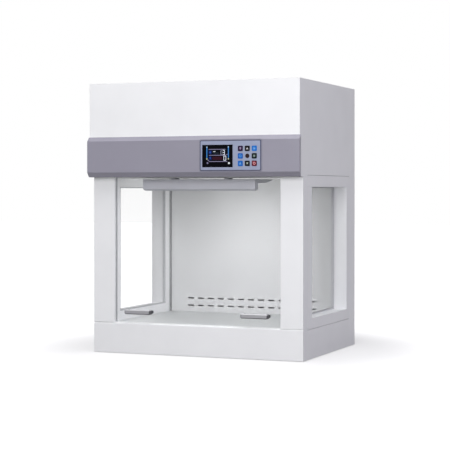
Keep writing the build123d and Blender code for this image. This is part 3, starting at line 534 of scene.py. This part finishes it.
def extrude_by(x, y, z):
    """Extrude the selected faces by a vector in metres."""
    bpy.ops.mesh.extrude_region_move(
        TRANSFORM_OT_translate={"value": (x, y, z), "orient_type": "GLOBAL"}
    )


def face_outward():
    """Turn every face outward, then leave edit mode."""
    bpy.ops.mesh.select_all(action="SELECT")
    bpy.ops.mesh.normals_make_consistent(inside=False)
    bpy.ops.object.mode_set(mode="OBJECT")


def join(pieces):
    """Join several objects into the first one and leave it active."""
    bpy.ops.object.select_all(action="DESELECT")
    for piece in pieces:
        piece.select_set(True)
    bpy.context.view_layer.objects.active = pieces[0]
    if len(pieces) > 1:
        bpy.ops.object.join()
    return bpy.context.object


# %% [markdown]
# ## Graphics on the display
# A colour display shows bars, rules, fields and digits. They are light, not paint,
# so they glow at the strength of a white sheet. Each is a thin tile with clipped
# corners a tenth of a millimetre proud of the glass, placed as a share of the
# screen's width and height, so it follows the screen wherever the frame puts it.


# %% Screen tiles
PIXEL = 0.5 * MM  # drawn coarser than real pixels, so that it shows
DIM_PIXEL, BRIGHT_PIXEL = 0.9, 1.1  # glow of the dimmest and the brightest


def light(name, colour):
    """A lit tone on the display: black when off, its own colour when lit."""
    made, tree, shader = finish(
        name, "#020204", Roughness=0.3, Specular_IOR_Level=0.03
    )
    place = add(tree, "TexCoord").outputs["Object"]
    grain = add(tree, "TexNoise", {"Vector": place, "Scale": 1 / PIXEL})
    level = add(
        tree,
        "MapRange",
        {
            "Value": grain.outputs["Fac"],
            "To Min": DIM_PIXEL,
            "To Max": BRIGHT_PIXEL,
        },
    )
    shader.inputs["Emission Color"].default_value = linear(colour)
    tree.links.new(level.outputs["Result"], shader.inputs["Emission Strength"])
    return made


# %% Screen size
screen_low, screen_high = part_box("display")
SCREEN_BORDER = 1.0 * MM
screen_left = screen_low.x + SCREEN_BORDER
screen_top = screen_high.z - SCREEN_BORDER
screen_w = screen_high.x - screen_low.x - 2 * SCREEN_BORDER
screen_h = screen_high.z - screen_low.z - 2 * SCREEN_BORDER
TILE_PROUD = 0.12 * MM
print("screen in mm:", round(screen_w / MM, 1), "by", round(screen_h / MM, 1))


def fill_back(depth):
    """Extrude the selected face back by a depth and turn all faces outward."""
    extrude_by(0, depth, 0)
    face_outward()
    bpy.ops.object.transform_apply(location=True, rotation=True, scale=True)


def tile(x, z, width, height, front, corner=0.3, turn=0.0):
    """A thin upright tile, centred at x, z, with clipped corners, facing forward."""
    bpy.ops.mesh.primitive_plane_add(
        size=1, location=(x, front - TILE_PROUD, z), rotation=(math.pi / 2, turn, 0)
    )
    made = bpy.context.object
    made.scale = (width, height, 1)
    bpy.ops.object.transform_apply(location=False, rotation=False, scale=True)
    edit_all()
    bpy.ops.mesh.bevel(
        offset=corner * min(width, height), segments=2, affect="VERTICES"
    )
    fill_back(TILE_PROUD)
    return made


def on_screen(across, down, width, height, **shape):
    """A tile placed and sized as shares of the screen, from its top left corner."""
    return tile(
        screen_left + across * screen_w,
        screen_top - down * screen_h,
        width * screen_w,
        height * screen_h,
        screen_low.y,
        **shape,
    )


# %% [markdown]
# ## Digits
# Seven short bars make any digit, as on the real display. A digit is a list of the
# bars that are lit, and each bar is one tile with strongly clipped ends.


# %% Digits
SEGMENTS = {"0": "abcdef", "3": "abcdg"}


def digit(value, across, down, width, height, stroke):
    """One seven-segment digit in a box given as shares of the screen."""
    tall = stroke * screen_w / screen_h
    half = height / 2
    places = {
        "a": (0, -0.5, width, tall),
        "b": (0.5, -0.25, stroke, half),
        "c": (0.5, 0.25, stroke, half),
        "d": (0, 0.5, width, tall),
        "e": (-0.5, 0.25, stroke, half),
        "f": (-0.5, -0.25, stroke, half),
        "g": (0, 0, width, tall),
    }
    made = []
    for name in SEGMENTS[value]:
        dx, dz, wide, high = places[name]
        made.append(
            on_screen(across + dx * width, down + dz * height, wide, high, corner=0.45)
        )
    return made


# %% [markdown]
# ## Bars, rules and fields
# The numbers below are shares of the screen: across, down, width and height. Tiles of
# one tone are joined, so each tone is one piece with one material.


# %% Bars, rules and fields
SIDE_BARS = (0.154, 0.862)


def screen_piece(name, colour, *tiles):
    """Join tiles of one lit tone into a piece of the display."""
    join(list(tiles))
    settle(name, light(name.replace("_", " "), colour))


screen_piece(
    "screen_bars", "#3F86CF", *[on_screen(x, 0.35, 0.029, 0.46) for x in SIDE_BARS]
)
screen_piece(
    "screen_bar_tips", "#A9CBEA", *[on_screen(x, 0.10, 0.036, 0.06) for x in SIDE_BARS]
)
screen_piece(
    "screen_bar_feet", "#B9BE9C", *[on_screen(x, 0.625, 0.034, 0.07) for x in SIDE_BARS]
)
screen_piece(
    "screen_rules",
    "#8C88A8",
    on_screen(0.49, 0.20, 0.56, 0.024),
    on_screen(0.49, 0.466, 0.54, 0.024),
    on_screen(0.80, 0.445, 0.10, 0.022, turn=-0.45),
    on_screen(0.54, 0.745, 0.57, 0.026),
    on_screen(0.215, 0.71, 0.10, 0.024, turn=0.72),
)
screen_piece(
    "screen_fields",
    "#0E1F52",
    on_screen(0.262, 0.335, 0.12, 0.19),
    on_screen(0.262, 0.60, 0.12, 0.17),
)
screen_piece(
    "screen_field_marks",
    "#3B62C4",
    on_screen(0.262, 0.335, 0.045, 0.09, corner=0.45),
    on_screen(0.262, 0.58, 0.022, 0.10),
)
screen_piece("screen_speed_field", "#1A2029", on_screen(0.46, 0.375, 0.18, 0.10))
screen_piece("screen_timer_field", "#35141F", on_screen(0.495, 0.60, 0.33, 0.15))
screen_piece(
    "screen_digits",
    "#E6ECF6",
    *digit("3", 0.705, 0.345, 0.06, 0.2, 0.018),
    *digit("0", 0.745, 0.6, 0.07, 0.19, 0.018),
)
screen_piece(
    "screen_dim_digit", "#8F95A6", *digit("0", 0.63, 0.345, 0.045, 0.17, 0.012)
)
screen_piece(
    "screen_corner_mark",
    "#DDE3E6",
    on_screen(0.40, 0.30, 0.07, 0.032),
    on_screen(0.88, 0.82, 0.065, 0.085, corner=0.4),
)
screen_piece(
    "screen_menu_mark", "#7D7A9A", on_screen(0.175, 0.81, 0.055, 0.09, corner=0.45)
)

# %% [markdown]
# ## The line round the control plate
# The printed overlay sits in a shallow seat in the band. Round it runs a dark line
# of painted shade, which stands for the shadow in the gap round the plate, and
# outside that a slightly darker lavender ring. Each is a plane with rounded corners,
# inset to a ring, with its middle deleted and the ring extruded to its depth.


# %% Plate line and border
def ring_round(node, gap, width, depth, corner):
    """An upright ring that runs round a CAD piece in the plane of its rear face."""
    low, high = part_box(node)
    middle, size = (low + high) / 2, high - low
    bpy.ops.mesh.primitive_plane_add(
        size=1,
        location=(middle.x, high.y - depth, middle.z),
        rotation=(math.pi / 2, 0, 0),
    )
    spread = 2 * (gap + width)
    bpy.context.object.scale = (size.x + spread, size.z + spread, 1)
    bpy.ops.object.transform_apply(location=False, rotation=False, scale=True)
    edit_all()
    bpy.ops.mesh.bevel(offset=corner, segments=4, affect="VERTICES")
    bpy.ops.mesh.select_all(action="SELECT")
    bpy.ops.mesh.inset(thickness=width, depth=0)
    bpy.ops.mesh.delete(type="FACE")
    bpy.ops.mesh.select_all(action="SELECT")
    fill_back(depth)


LINE_WIDTH, LINE_DEPTH, LINE_CORNER = 2.2 * MM, 1.6 * MM, 4 * MM
BORDER_WIDTH, BORDER_DEPTH, BORDER_CORNER = 3.4 * MM, 0.5 * MM, 6 * MM
# A dark ring of painted shade stands for the shadowed gap round the plate.
ring_round("control_plate", 0, LINE_WIDTH, LINE_DEPTH, LINE_CORNER)
settle("plate_gap_shadow", gap_shade_line)
# A ring a little darker than the band, just outside the dark line.
ring_round("control_plate", LINE_WIDTH, BORDER_WIDTH, BORDER_DEPTH, BORDER_CORNER)
darker_border = moulded("darker lavender grey border", "#82818F", "#7E7D8B", 0.4)
settle("plate_border", darker_border)

# %% [markdown]
# ## Key caps
# The keys are moulded caps with rounded corners and a shallow dish for the fingertip.
# Behind the plate a flange keeps each one in, and a stem reaches its switch. One
# square plane becomes the whole key: corners rounded, extruded back, widened to the
# flange, narrowed to the stem, and its front inset and pressed in.

# %% Key sizes and colours
KEY_ROUND = 2.4 * MM
KEY_RIM = 1.3 * MM
KEY_DISH = 0.4 * MM
KEY_FLANGE = 0.8 * MM  # step from the cap out to its flange
CAP_DEPTH = 3.1 * MM
FLANGE_THICK = 1.2 * MM
STEM_SHARE = 0.26  # stem width as a share of the flange
KEY_EASE = 0.35 * MM  # radius on the moulded edges
KEY_GLOSS, KEY_SHINE = 0.22, 0.12
KEYS = {
    # key: cap tone, worn tone, symbol tone, plain colour, record slot
    "key_lamp": ("#2B1B3C", "#241633", "#9D8AAE", "dark purple", "key_purple"),
    "key_up": ("#0B0C12", "#101118", "#DDDDE1", "black", "key_black"),
    "key_uv": ("#2574C9", "#216CBE", "#8CC0F3", "bright blue", "key_blue"),
    "key_socket": ("#2163BC", "#1E5CB0", "#6BB6F0", "mid blue", "key_blue"),
    "key_fan": ("#0C1B1B", "#101F1F", "#8A9C98", "green black", "key_black"),
    "key_set": ("#2069C1", "#1D61B4", "#7FBDF2", "sky blue", "key_blue"),
    "key_down": ("#0A0B0F", "#0F1015", "#C9D2C8", "jet black", "key_black"),
    "key_power": ("#5F0F28", "#560C23", "#F2A3AE", "crimson", "key_red"),
}
print("keys:", len(KEYS))


def key_face(name):
    """Centre of a key's cap in x and z, and the plane of its front face."""
    low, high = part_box(name)
    return (low.x + high.x) / 2, (low.z + high.z) / 2, low.y


def step_back(share, depth, centre):
    """Extrude the selected face in place, scale it, then extrude it back."""
    bpy.ops.mesh.extrude_region_move()
    bpy.ops.transform.resize(value=(share, 1, share), center_override=centre)
    extrude_by(0, depth, 0)


# %% Key caps
def key_cap(name):
    """One key from cap to stem, as a single mesh."""
    x, z, front = key_face(name)
    low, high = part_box(name)
    size = high.x - low.x - 2 * KEY_FLANGE
    bpy.ops.mesh.primitive_plane_add(
        size=size, location=(x, front, z), rotation=(math.pi / 2, 0, 0)
    )
    made = bpy.context.object
    bpy.ops.object.transform_apply(location=True, rotation=True, scale=True)
    edit_all()
    bpy.ops.mesh.bevel(offset=KEY_ROUND, segments=5, affect="VERTICES")
    bpy.ops.mesh.select_all(action="SELECT")
    extrude_by(0, CAP_DEPTH, 0)
    step_back((high.x - low.x) / size, FLANGE_THICK, (x, front, z))
    step_back(STEM_SHARE, high.y - front - CAP_DEPTH - FLANGE_THICK, (x, front, z))
    bpy.ops.mesh.select_all(action="SELECT")
    bpy.ops.mesh.normals_make_consistent(inside=False)
    bpy.ops.mesh.select_all(action="DESELECT")
    bpy.ops.object.mode_set(mode="OBJECT")
    # Only the front face lies this close to the front plane.
    for face in made.data.polygons:
        face.select = face.center.y < front + TILE_PROUD
    bpy.ops.object.mode_set(mode="EDIT")
    bpy.ops.mesh.inset(thickness=KEY_RIM, depth=-KEY_DISH)
    bpy.ops.object.mode_set(mode="OBJECT")
    bpy.ops.object.modifier_add(type="BEVEL")
    ease = made.modifiers[-1]
    ease.width, ease.segments, ease.limit_method = KEY_EASE, 3, "ANGLE"
    return made


for key, (cap, worn, symbol, word, slot) in KEYS.items():
    piece = key_cap(key)
    cap_gloss = moulded(
        f"{word} key cap", cap, worn, KEY_GLOSS, depth=0.0, shine=KEY_SHINE
    )
    settle(f"{key}_cap", cap_gloss, body=f"{key}_body")
    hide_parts(key)

# %% [markdown]
# ## Symbols on the keys
# Plain symbols are printed on the caps: a lamp, arrows, rings, a fan and a power
# mark. Each is built from tiles, discs and rings in the dish of its key and rides on
# that key, so it moves in with the key when the key is pressed.


# %% Key symbols
def symbol_disc(x, z, radius, front, sides=20, turn=0.0, hole=0.0):
    """A flat disc, ring or triangle facing forward on a key cap."""
    bpy.ops.mesh.primitive_circle_add(
        vertices=sides,
        radius=radius,
        fill_type="NGON",
        location=(x, front - TILE_PROUD, z),
        rotation=(math.pi / 2, turn, 0),
    )
    made = bpy.context.object
    edit_all()
    if hole:
        bpy.ops.mesh.inset(thickness=radius - hole, depth=0)
        bpy.ops.mesh.delete(type="FACE")
        bpy.ops.mesh.select_all(action="SELECT")
    fill_back(TILE_PROUD)
    return made


def ring_of_dots(x, z, reach, radius, count, front, start=0.0):
    """Small discs spread evenly round a centre."""
    angles = [start + 2 * math.pi * step / count for step in range(count)]
    return [
        symbol_disc(x + reach * math.cos(a), z + reach * math.sin(a), radius, front, 12)
        for a in angles
    ]


def symbol_parts(name):
    """The shapes of one key's symbol, in place in the dish of its cap."""
    x, z, front = key_face(name)
    front += KEY_DISH
    if name == "key_up":
        return [symbol_disc(x, z - 0.6 * MM, 3.7 * MM, front, sides=3)]
    if name == "key_down":
        return [symbol_disc(x, z + 0.6 * MM, 3.7 * MM, front, sides=3, turn=math.pi)]
    if name == "key_lamp":
        return [
            symbol_disc(x, z + 1.0 * MM, 2.8 * MM, front),
            tile(x, z - 2.7 * MM, 2.4 * MM, 1.6 * MM, front),
        ]
    if name == "key_power":
        return [symbol_disc(x, z, 4.1 * MM, front, 28, 0, 2.3 * MM)]
    if name == "key_fan":
        petals = ring_of_dots(x, z, 2.1 * MM, 1.5 * MM, 4, front, math.pi / 4)
        return [*petals, symbol_disc(x, z, 0.9 * MM, front, 12)]
    if name == "key_uv":
        rays = ring_of_dots(x, z, 3.2 * MM, 0.8 * MM, 6, front)
        return [*rays, symbol_disc(x, z, 1.6 * MM, front)]
    if name == "key_socket":
        holes = ring_of_dots(x, z, 1.3 * MM, 0.7 * MM, 2, front)
        return [symbol_disc(x, z, 4.0 * MM, front, 24, 0, 3.1 * MM), *holes]
    return [
        tile(x, z + rise * MM, (5.4 - rise * 0.7) * MM, 1.1 * MM, front)
        for rise in (-2.2, 0.0, 2.2)
    ]


for key, (cap, worn, symbol, word, slot) in KEYS.items():
    join(symbol_parts(key))
    faded = symbol[:-1] + "0"  # the same ink, a hair less blue
    ink = moulded(f"{word} key symbol ink", symbol, faded, 0.4, depth=0.0, shine=0.2)
    settle(f"{key}_symbol", ink, body=f"{key}_body")

# %% [markdown]
# ## Screws with a cross recess
# The rear cover and the handles are held by pan-head screws. A head is a filled
# circle extruded in three narrowing steps, which gives its crown. Two crossed bars
# are cut from it with a Boolean modifier, and the shank is extruded from its back.


# %% One screw
CROWN = ((1.0, 0.45), (0.9, 0.3), (0.78, 0.25))  # width kept, share of the height
RECESS = (1.1, 0.9, 0.26)  # length, depth and width of a bar, as shares of the head


def pan_screw(head, height, shank, length):
    """A pan-head screw at the origin: head towards +Y, shank towards -Y."""
    bpy.ops.mesh.primitive_circle_add(
        vertices=28, radius=head, fill_type="NGON", rotation=(-math.pi / 2, 0, 0)
    )
    made = bpy.context.object
    bpy.ops.object.transform_apply(location=True, rotation=True, scale=True)
    edit_all()
    for share, rise in CROWN:
        extrude_by(0, rise * height, 0)
        bpy.ops.transform.resize(value=(share, 1, share), center_override=(0, 0, 0))
    bpy.ops.mesh.select_all(action="SELECT")
    bpy.ops.mesh.normals_make_consistent(inside=False)
    bpy.ops.mesh.select_all(action="DESELECT")
    bpy.ops.object.mode_set(mode="OBJECT")
    for face in made.data.polygons:
        face.select = face.center.y < 0.01 * MM and abs(face.normal.y) > 0.9
    bpy.ops.object.mode_set(mode="EDIT")
    step_back(shank / head, -length, (0, 0, 0))
    bpy.ops.object.mode_set(mode="OBJECT")
    for turn in (0, math.pi / 2):
        bpy.ops.mesh.primitive_cube_add(
            size=1, location=(0, height, 0), rotation=(0, turn, 0)
        )
        cutter = bpy.context.object
        cutter.scale = (head * RECESS[0], height * RECESS[1], head * RECESS[2])
        bpy.ops.object.select_all(action="DESELECT")
        bpy.context.view_layer.objects.active = made
        made.select_set(True)
        bpy.ops.object.modifier_add(type="BOOLEAN")
        made.modifiers[-1].object = cutter
        bpy.ops.object.modifier_apply(modifier=made.modifiers[-1].name)
        bpy.data.objects.remove(cutter)
    return made


def copies_at(master, places):
    """Copy a finished master to each place, each with its own mesh, and join them."""
    made = []
    for place in places:
        twin = master.copy()
        twin.data = master.data.copy()
        bpy.context.scene.collection.objects.link(twin)
        twin.location = place
        made.append(twin)
    bpy.data.objects.remove(master)
    joined = join(made)
    bpy.ops.object.transform_apply(location=True, rotation=True, scale=True)
    return joined


# %% [markdown]
# ## Screws in place
# The rear cover has two columns of four screws, and each handle has one in each leg.
# The boxes of the frame's own screws give their places and their lengths.


# %% Screws of the rear cover
REAR_ROWS = 4
REAR_HEAD = 4.0 * MM  # radius
low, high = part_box("rear_screws")
cover_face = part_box("rear_cover")[1].y
rows = [
    low.z + REAR_HEAD + (high.z - low.z - 2 * REAR_HEAD) * row / (REAR_ROWS - 1)
    for row in range(REAR_ROWS)
]
columns = (low.x + REAR_HEAD, high.x - REAR_HEAD)
screws = copies_at(
    pan_screw(REAR_HEAD, high.y - cover_face, REAR_HEAD / 2, cover_face - low.y),
    [(x, cover_face, z) for x in columns for z in rows],
)
settle("rear_cover_screws", screw_steel)
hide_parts("rear_screws")

# %% Screws of the handles
glass_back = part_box("sash_glass")[1].y
low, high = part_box("handle_screws")
LEG = 8.0 * MM  # thickness of a handle's leg, with its screw in the middle
HANDLE_SHANK = 2.5 * MM  # radius
legs = []
for hand in HANDS:
    left_end, right_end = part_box(f"sash_handle_{hand}")
    legs += [left_end.x + LEG / 2, right_end.x - LEG / 2]
screws = copies_at(
    pan_screw(
        (high.z - low.z) / 2, high.y - glass_back, HANDLE_SHANK, glass_back - low.y
    ),
    [(x, glass_back, (low.z + high.z) / 2) for x in legs],
)
settle("handle_cross_screws", screw_steel, body="sash")
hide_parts("handle_screws")

# %% [markdown]
# ## Caps of the tubes
# Each tube ends in an aluminium cap, and the lampholder hides its pins. The cap is a
# filled circle extruded along the tube in two steps, the second one tapered, once for
# each end.

# %% Tube caps
CAP_LENGTH = 11.0 * MM
CAP_WALL = 0.25 * MM
CAP_SET_IN = 0.2 * MM  # from the end of the glass
CAP_STEPS = ((1.0, 0.85), (0.97, 0.15))  # width kept, share of the length
tube_ends = []
for tube in ("lamp_tube", "uv_tube"):
    low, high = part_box(tube)
    radius = (high.z - low.z) / 2
    for end, inward in ((low.x, 1), (high.x, -1)):
        bpy.ops.mesh.primitive_circle_add(
            vertices=36,
            radius=radius + CAP_WALL,
            fill_type="NGON",
            location=(
                end + inward * CAP_SET_IN,
                (low.y + high.y) / 2,
                (low.z + high.z) / 2,
            ),
            rotation=(0, math.pi / 2, 0),
        )
        edit_all()
        for share, reach in CAP_STEPS:
            extrude_by(inward * reach * CAP_LENGTH, 0, 0)
            bpy.ops.transform.resize(
                value=(1, share, share), center_override=bpy.context.object.location
            )
        face_outward()
        tube_ends.append(bpy.context.object)
join(tube_ends)
settle("tube_caps", spun)

# %% [markdown]
# ## Rivets and painted corner shadows
# Blind rivets go through the side flanges of the back panel, and a dark strip of
# painted shade stands up beside each rear corner, where it paints the shadow in the
# gap between the sheets. Both are small, but they tell the eye where one sheet stops
# and the next begins. A rivet is a circle raised in two narrowing steps, and a strip
# is a small plane with rounded corners, drawn up to the ceiling.

# %% Rivets
RIVET_RADIUS = 2.0 * MM
RIVET_LEVELS = (0.16, 0.31, 0.462)
RIVET_STEP = 0.45 * MM
RIVET_STEPS = (0.85, 0.6)  # width kept at each step of the dome
RIVET_BACK = 9 * MM  # from the rear of the back panel
WALL_INSET = 1.2 * MM  # from the back panel's outer faces, within its sheet
panel_low, panel_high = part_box("back_panel")
rivets = []
for side in (-1, 1):
    wall = side * (panel_high.x - WALL_INSET)
    for level in RIVET_LEVELS:
        bpy.ops.mesh.primitive_circle_add(
            vertices=16,
            radius=RIVET_RADIUS,
            fill_type="NGON",
            location=(wall, panel_high.y - RIVET_BACK, level),
            rotation=(0, -side * math.pi / 2, 0),
        )
        edit_all()
        for share in RIVET_STEPS:
            extrude_by(-side * RIVET_STEP, 0, 0)
            bpy.ops.transform.resize(
                value=(1, share, share), center_override=bpy.context.object.location
            )
        face_outward()
        rivets.append(bpy.context.object)
join(rivets)
rivet_metal = brushed(
    "aluminium rivet", "#8B8D90", "#9A9C9F", 0.45, 0.4 * MM, (1, 1, 1)
)
settle("wall_rivets", rivet_metal)

# %% Painted corner shadows
SHADOW_STRIP_HALF = 2.4 * MM  # half the width of a painted shadow strip
SHADOW_STRIP_ROUND = 0.7  # corner radius as a share of that
tray_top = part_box("work_tray")[1].z
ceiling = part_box("diffuser_plate")[0].z
shadow_strips = []
# The right painted shadow strip lies further in, so that the window frame doesn't hide
# it.
SHADOW_STRIP_INSETS = ((-1, WALL_INSET), (1, 9.5 * MM))
for side, inset in SHADOW_STRIP_INSETS:
    bpy.ops.mesh.primitive_plane_add(
        size=1,
        location=(side * (panel_high.x - inset), panel_high.y - WALL_INSET, tray_top),
    )
    shadow_strip = bpy.context.object
    shadow_strip.scale = (2 * SHADOW_STRIP_HALF, 2 * SHADOW_STRIP_HALF, 1)
    bpy.ops.object.transform_apply(location=False, rotation=False, scale=True)
    edit_all()
    bpy.ops.mesh.bevel(offset=SHADOW_STRIP_HALF * SHADOW_STRIP_ROUND, segments=3, affect="VERTICES")
    bpy.ops.mesh.select_all(action="SELECT")
    extrude_by(0, 0, ceiling - tray_top - SHADOW_STRIP_HALF)
    face_outward()
    shadow_strips.append(shadow_strip)
join(shadow_strips)
settle("painted_corner_shadows", joint_shadow)

# %% [markdown]
# ## Floor
# The hood stands on a plain white floor under soft studio light. A camera sees a
# white sky and a floor that is lifted to white, while the light that reaches the
# hood is weaker: a real studio sweep is overexposed in the same way. The Light Path
# node tells the two apart. The lift grows with the distance from the hood, so the
# floor keeps its shadow close by and melts into the sky far off.


# %% Floor
def seen_rays(tree):
    """One where a ray comes straight from the eye, off a mirror or through glass."""
    rays = add(tree, "LightPath")
    straight = add(
        tree,
        "Math",
        {0: rays.outputs["Is Camera Ray"], 1: rays.outputs["Is Glossy Ray"]},
        operation="MAXIMUM",
    )
    return add(
        tree,
        "Math",
        {0: straight.outputs["Value"], 1: rays.outputs["Is Transmission Ray"]},
        operation="MAXIMUM",
    ).outputs["Value"]


LIFT_NEAR, LIFT_FAR = 0.5, 0.95  # glow under the hood and far from it
LIFT_STARTS, LIFT_ENDS = 0.45, 0.9  # distances in metres
bpy.ops.mesh.primitive_plane_add(size=30, location=(0, 0, 0))
floor = bpy.context.object
floor.name = "studio_floor"
floor_paint, floor_tree, floor_shader = finish("studio floor", "#BBBBBB", Roughness=0.9)
floor_shader.inputs["Specular IOR Level"].default_value = 0.0
# The floor throws little light back up, as a dark room beyond the sweep would.
tone = add(
    floor_tree,
    "Mix",
    {
        "Factor": seen_rays(floor_tree),
        "A": linear("#505050"),
        "B": linear("#BBBBBB"),
    },
    data_type="RGBA",
)
floor_place = add(floor_tree, "TexCoord").outputs["Object"]
reach = add(floor_tree, "VectorMath", {0: floor_place}, operation="LENGTH")
lift = add(
    floor_tree,
    "MapRange",
    {
        "Value": reach.outputs["Value"],
        "From Min": LIFT_STARTS,
        "From Max": LIFT_ENDS,
        "To Min": LIFT_NEAR,
        "To Max": LIFT_FAR,
    },
    interpolation_type="SMOOTHSTEP",
)
glow = add(
    floor_tree,
    "Math",
    {0: seen_rays(floor_tree), 1: lift.outputs["Result"]},
    operation="MULTIPLY",
)
floor_tree.links.new(tone.outputs["Result"], floor_shader.inputs["Base Color"])
floor_shader.inputs["Emission Color"].default_value = (1, 1, 1, 1)
floor_tree.links.new(glow.outputs["Value"], floor_shader.inputs["Emission Strength"])
floor.data.materials.append(floor_paint)
print("floor lift near and far:", LIFT_NEAR, LIFT_FAR)

# %% [markdown]
# ## Sky and lamps
# Soft boxes light the front, the top and the right side, and the sky fills in the
# rest. They are as strong as it takes for white paint to stay just short of white.
# The key box stands to the right of the middle, so the glass doesn't mirror it.

# %% Sky
SKY_LIGHT = 0.35
world = bpy.data.worlds.new("studio sky")
bpy.context.scene.world = world
world.use_nodes = True
sky = world.node_tree
background = sky.nodes["Background"]
seen = seen_rays(sky)
# The seen sky is plain white. The light that it sheds is a touch lavender.
sky_tone = add(
    sky,
    "Mix",
    {"Factor": seen, "A": linear("#F5F2FF"), "B": linear("#FFFFFF")},
    data_type="RGBA",
)
strength = add(sky, "MapRange", {"Value": seen, "To Min": SKY_LIGHT, "To Max": 1.0})
sky.links.new(sky_tone.outputs["Result"], background.inputs["Color"])
sky.links.new(strength.outputs["Result"], background.inputs["Strength"])


# %% Lamps
def softbox(name, place, aim, size, watts):
    """A large square area lamp at a place, turned towards a point."""
    bpy.ops.object.light_add(type="AREA", location=place)
    lamp = bpy.context.object
    lamp.name = name
    lamp.data.shape = "SQUARE"
    lamp.data.size = size
    lamp.data.energy = watts
    lamp.visible_camera = False
    lamp.rotation_mode = "QUATERNION"
    lamp.rotation_quaternion = (Vector(aim) - Vector(place)).to_track_quat("-Z", "Y")
    print(name, "gives", watts, "W")
    return lamp


softbox("key softbox", (0.45, -3.6, 1.3), (0, 0, 0.5), 1.6, 53)
softbox("top softbox", (0.1, -1.1, 3.2), (0, -0.1, 0.6), 2.2, 54)
side_fill = softbox("side fill", (3.2, -1.6, 0.9), (0.3, 0, 0.45), 1.6, 26)
side_fill.data.color = linear("#F3F0FF")[:3]
softbox("low fill", (0.2, -2.4, 0.22), (0, 0, 0.42), 1.0, 4)

# %% Lamp in the chamber
# The shade keeps most of the tube's light from the back panel. This unseen soft ball
# stands for the light that bounces round the chamber, so that it is lit evenly.
CHAMBER_WATTS, CHAMBER_BALL, CHAMBER_HEIGHT = 0.85, 0.08, 0.4
bpy.ops.object.light_add(type="POINT", location=(0, 0, CHAMBER_HEIGHT))
chamber_lamp = bpy.context.object
chamber_lamp.name = "chamber lamp"
chamber_lamp.data.energy = CHAMBER_WATTS
chamber_lamp.data.shadow_soft_size = CHAMBER_BALL
chamber_lamp.visible_camera = False
chamber_lamp.visible_glossy = False
print(chamber_lamp.name, "gives", CHAMBER_WATTS, "W")

# %% [markdown]
# ## Camera
# A camera that looks straight ahead keeps the uprights of the hood parallel. Its lens
# is shifted instead of tilted, as on a camera for buildings.

# %% Camera
CAMERA_PLACE = (1.692, -4.0916, 0.5004)
CAMERA_TURN = 22.46  # degrees
SENSOR, LENS = 36.0, 113.04  # millimetres
LENS_SHIFT = -0.0793  # share of the sensor
camera_data = bpy.data.cameras.new("camera")
camera = bpy.data.objects.new("camera", camera_data)
bpy.context.scene.collection.objects.link(camera)
bpy.context.scene.camera = camera
camera.location = CAMERA_PLACE
camera.rotation_euler = (math.pi / 2, 0, math.radians(CAMERA_TURN))
camera_data.sensor_width = SENSOR
camera_data.lens = LENS
camera_data.shift_y = LENS_SHIFT
bpy.context.scene.view_settings.view_transform = "Standard"
print("camera at", CAMERA_PLACE, "with a lens of", LENS, "mm")
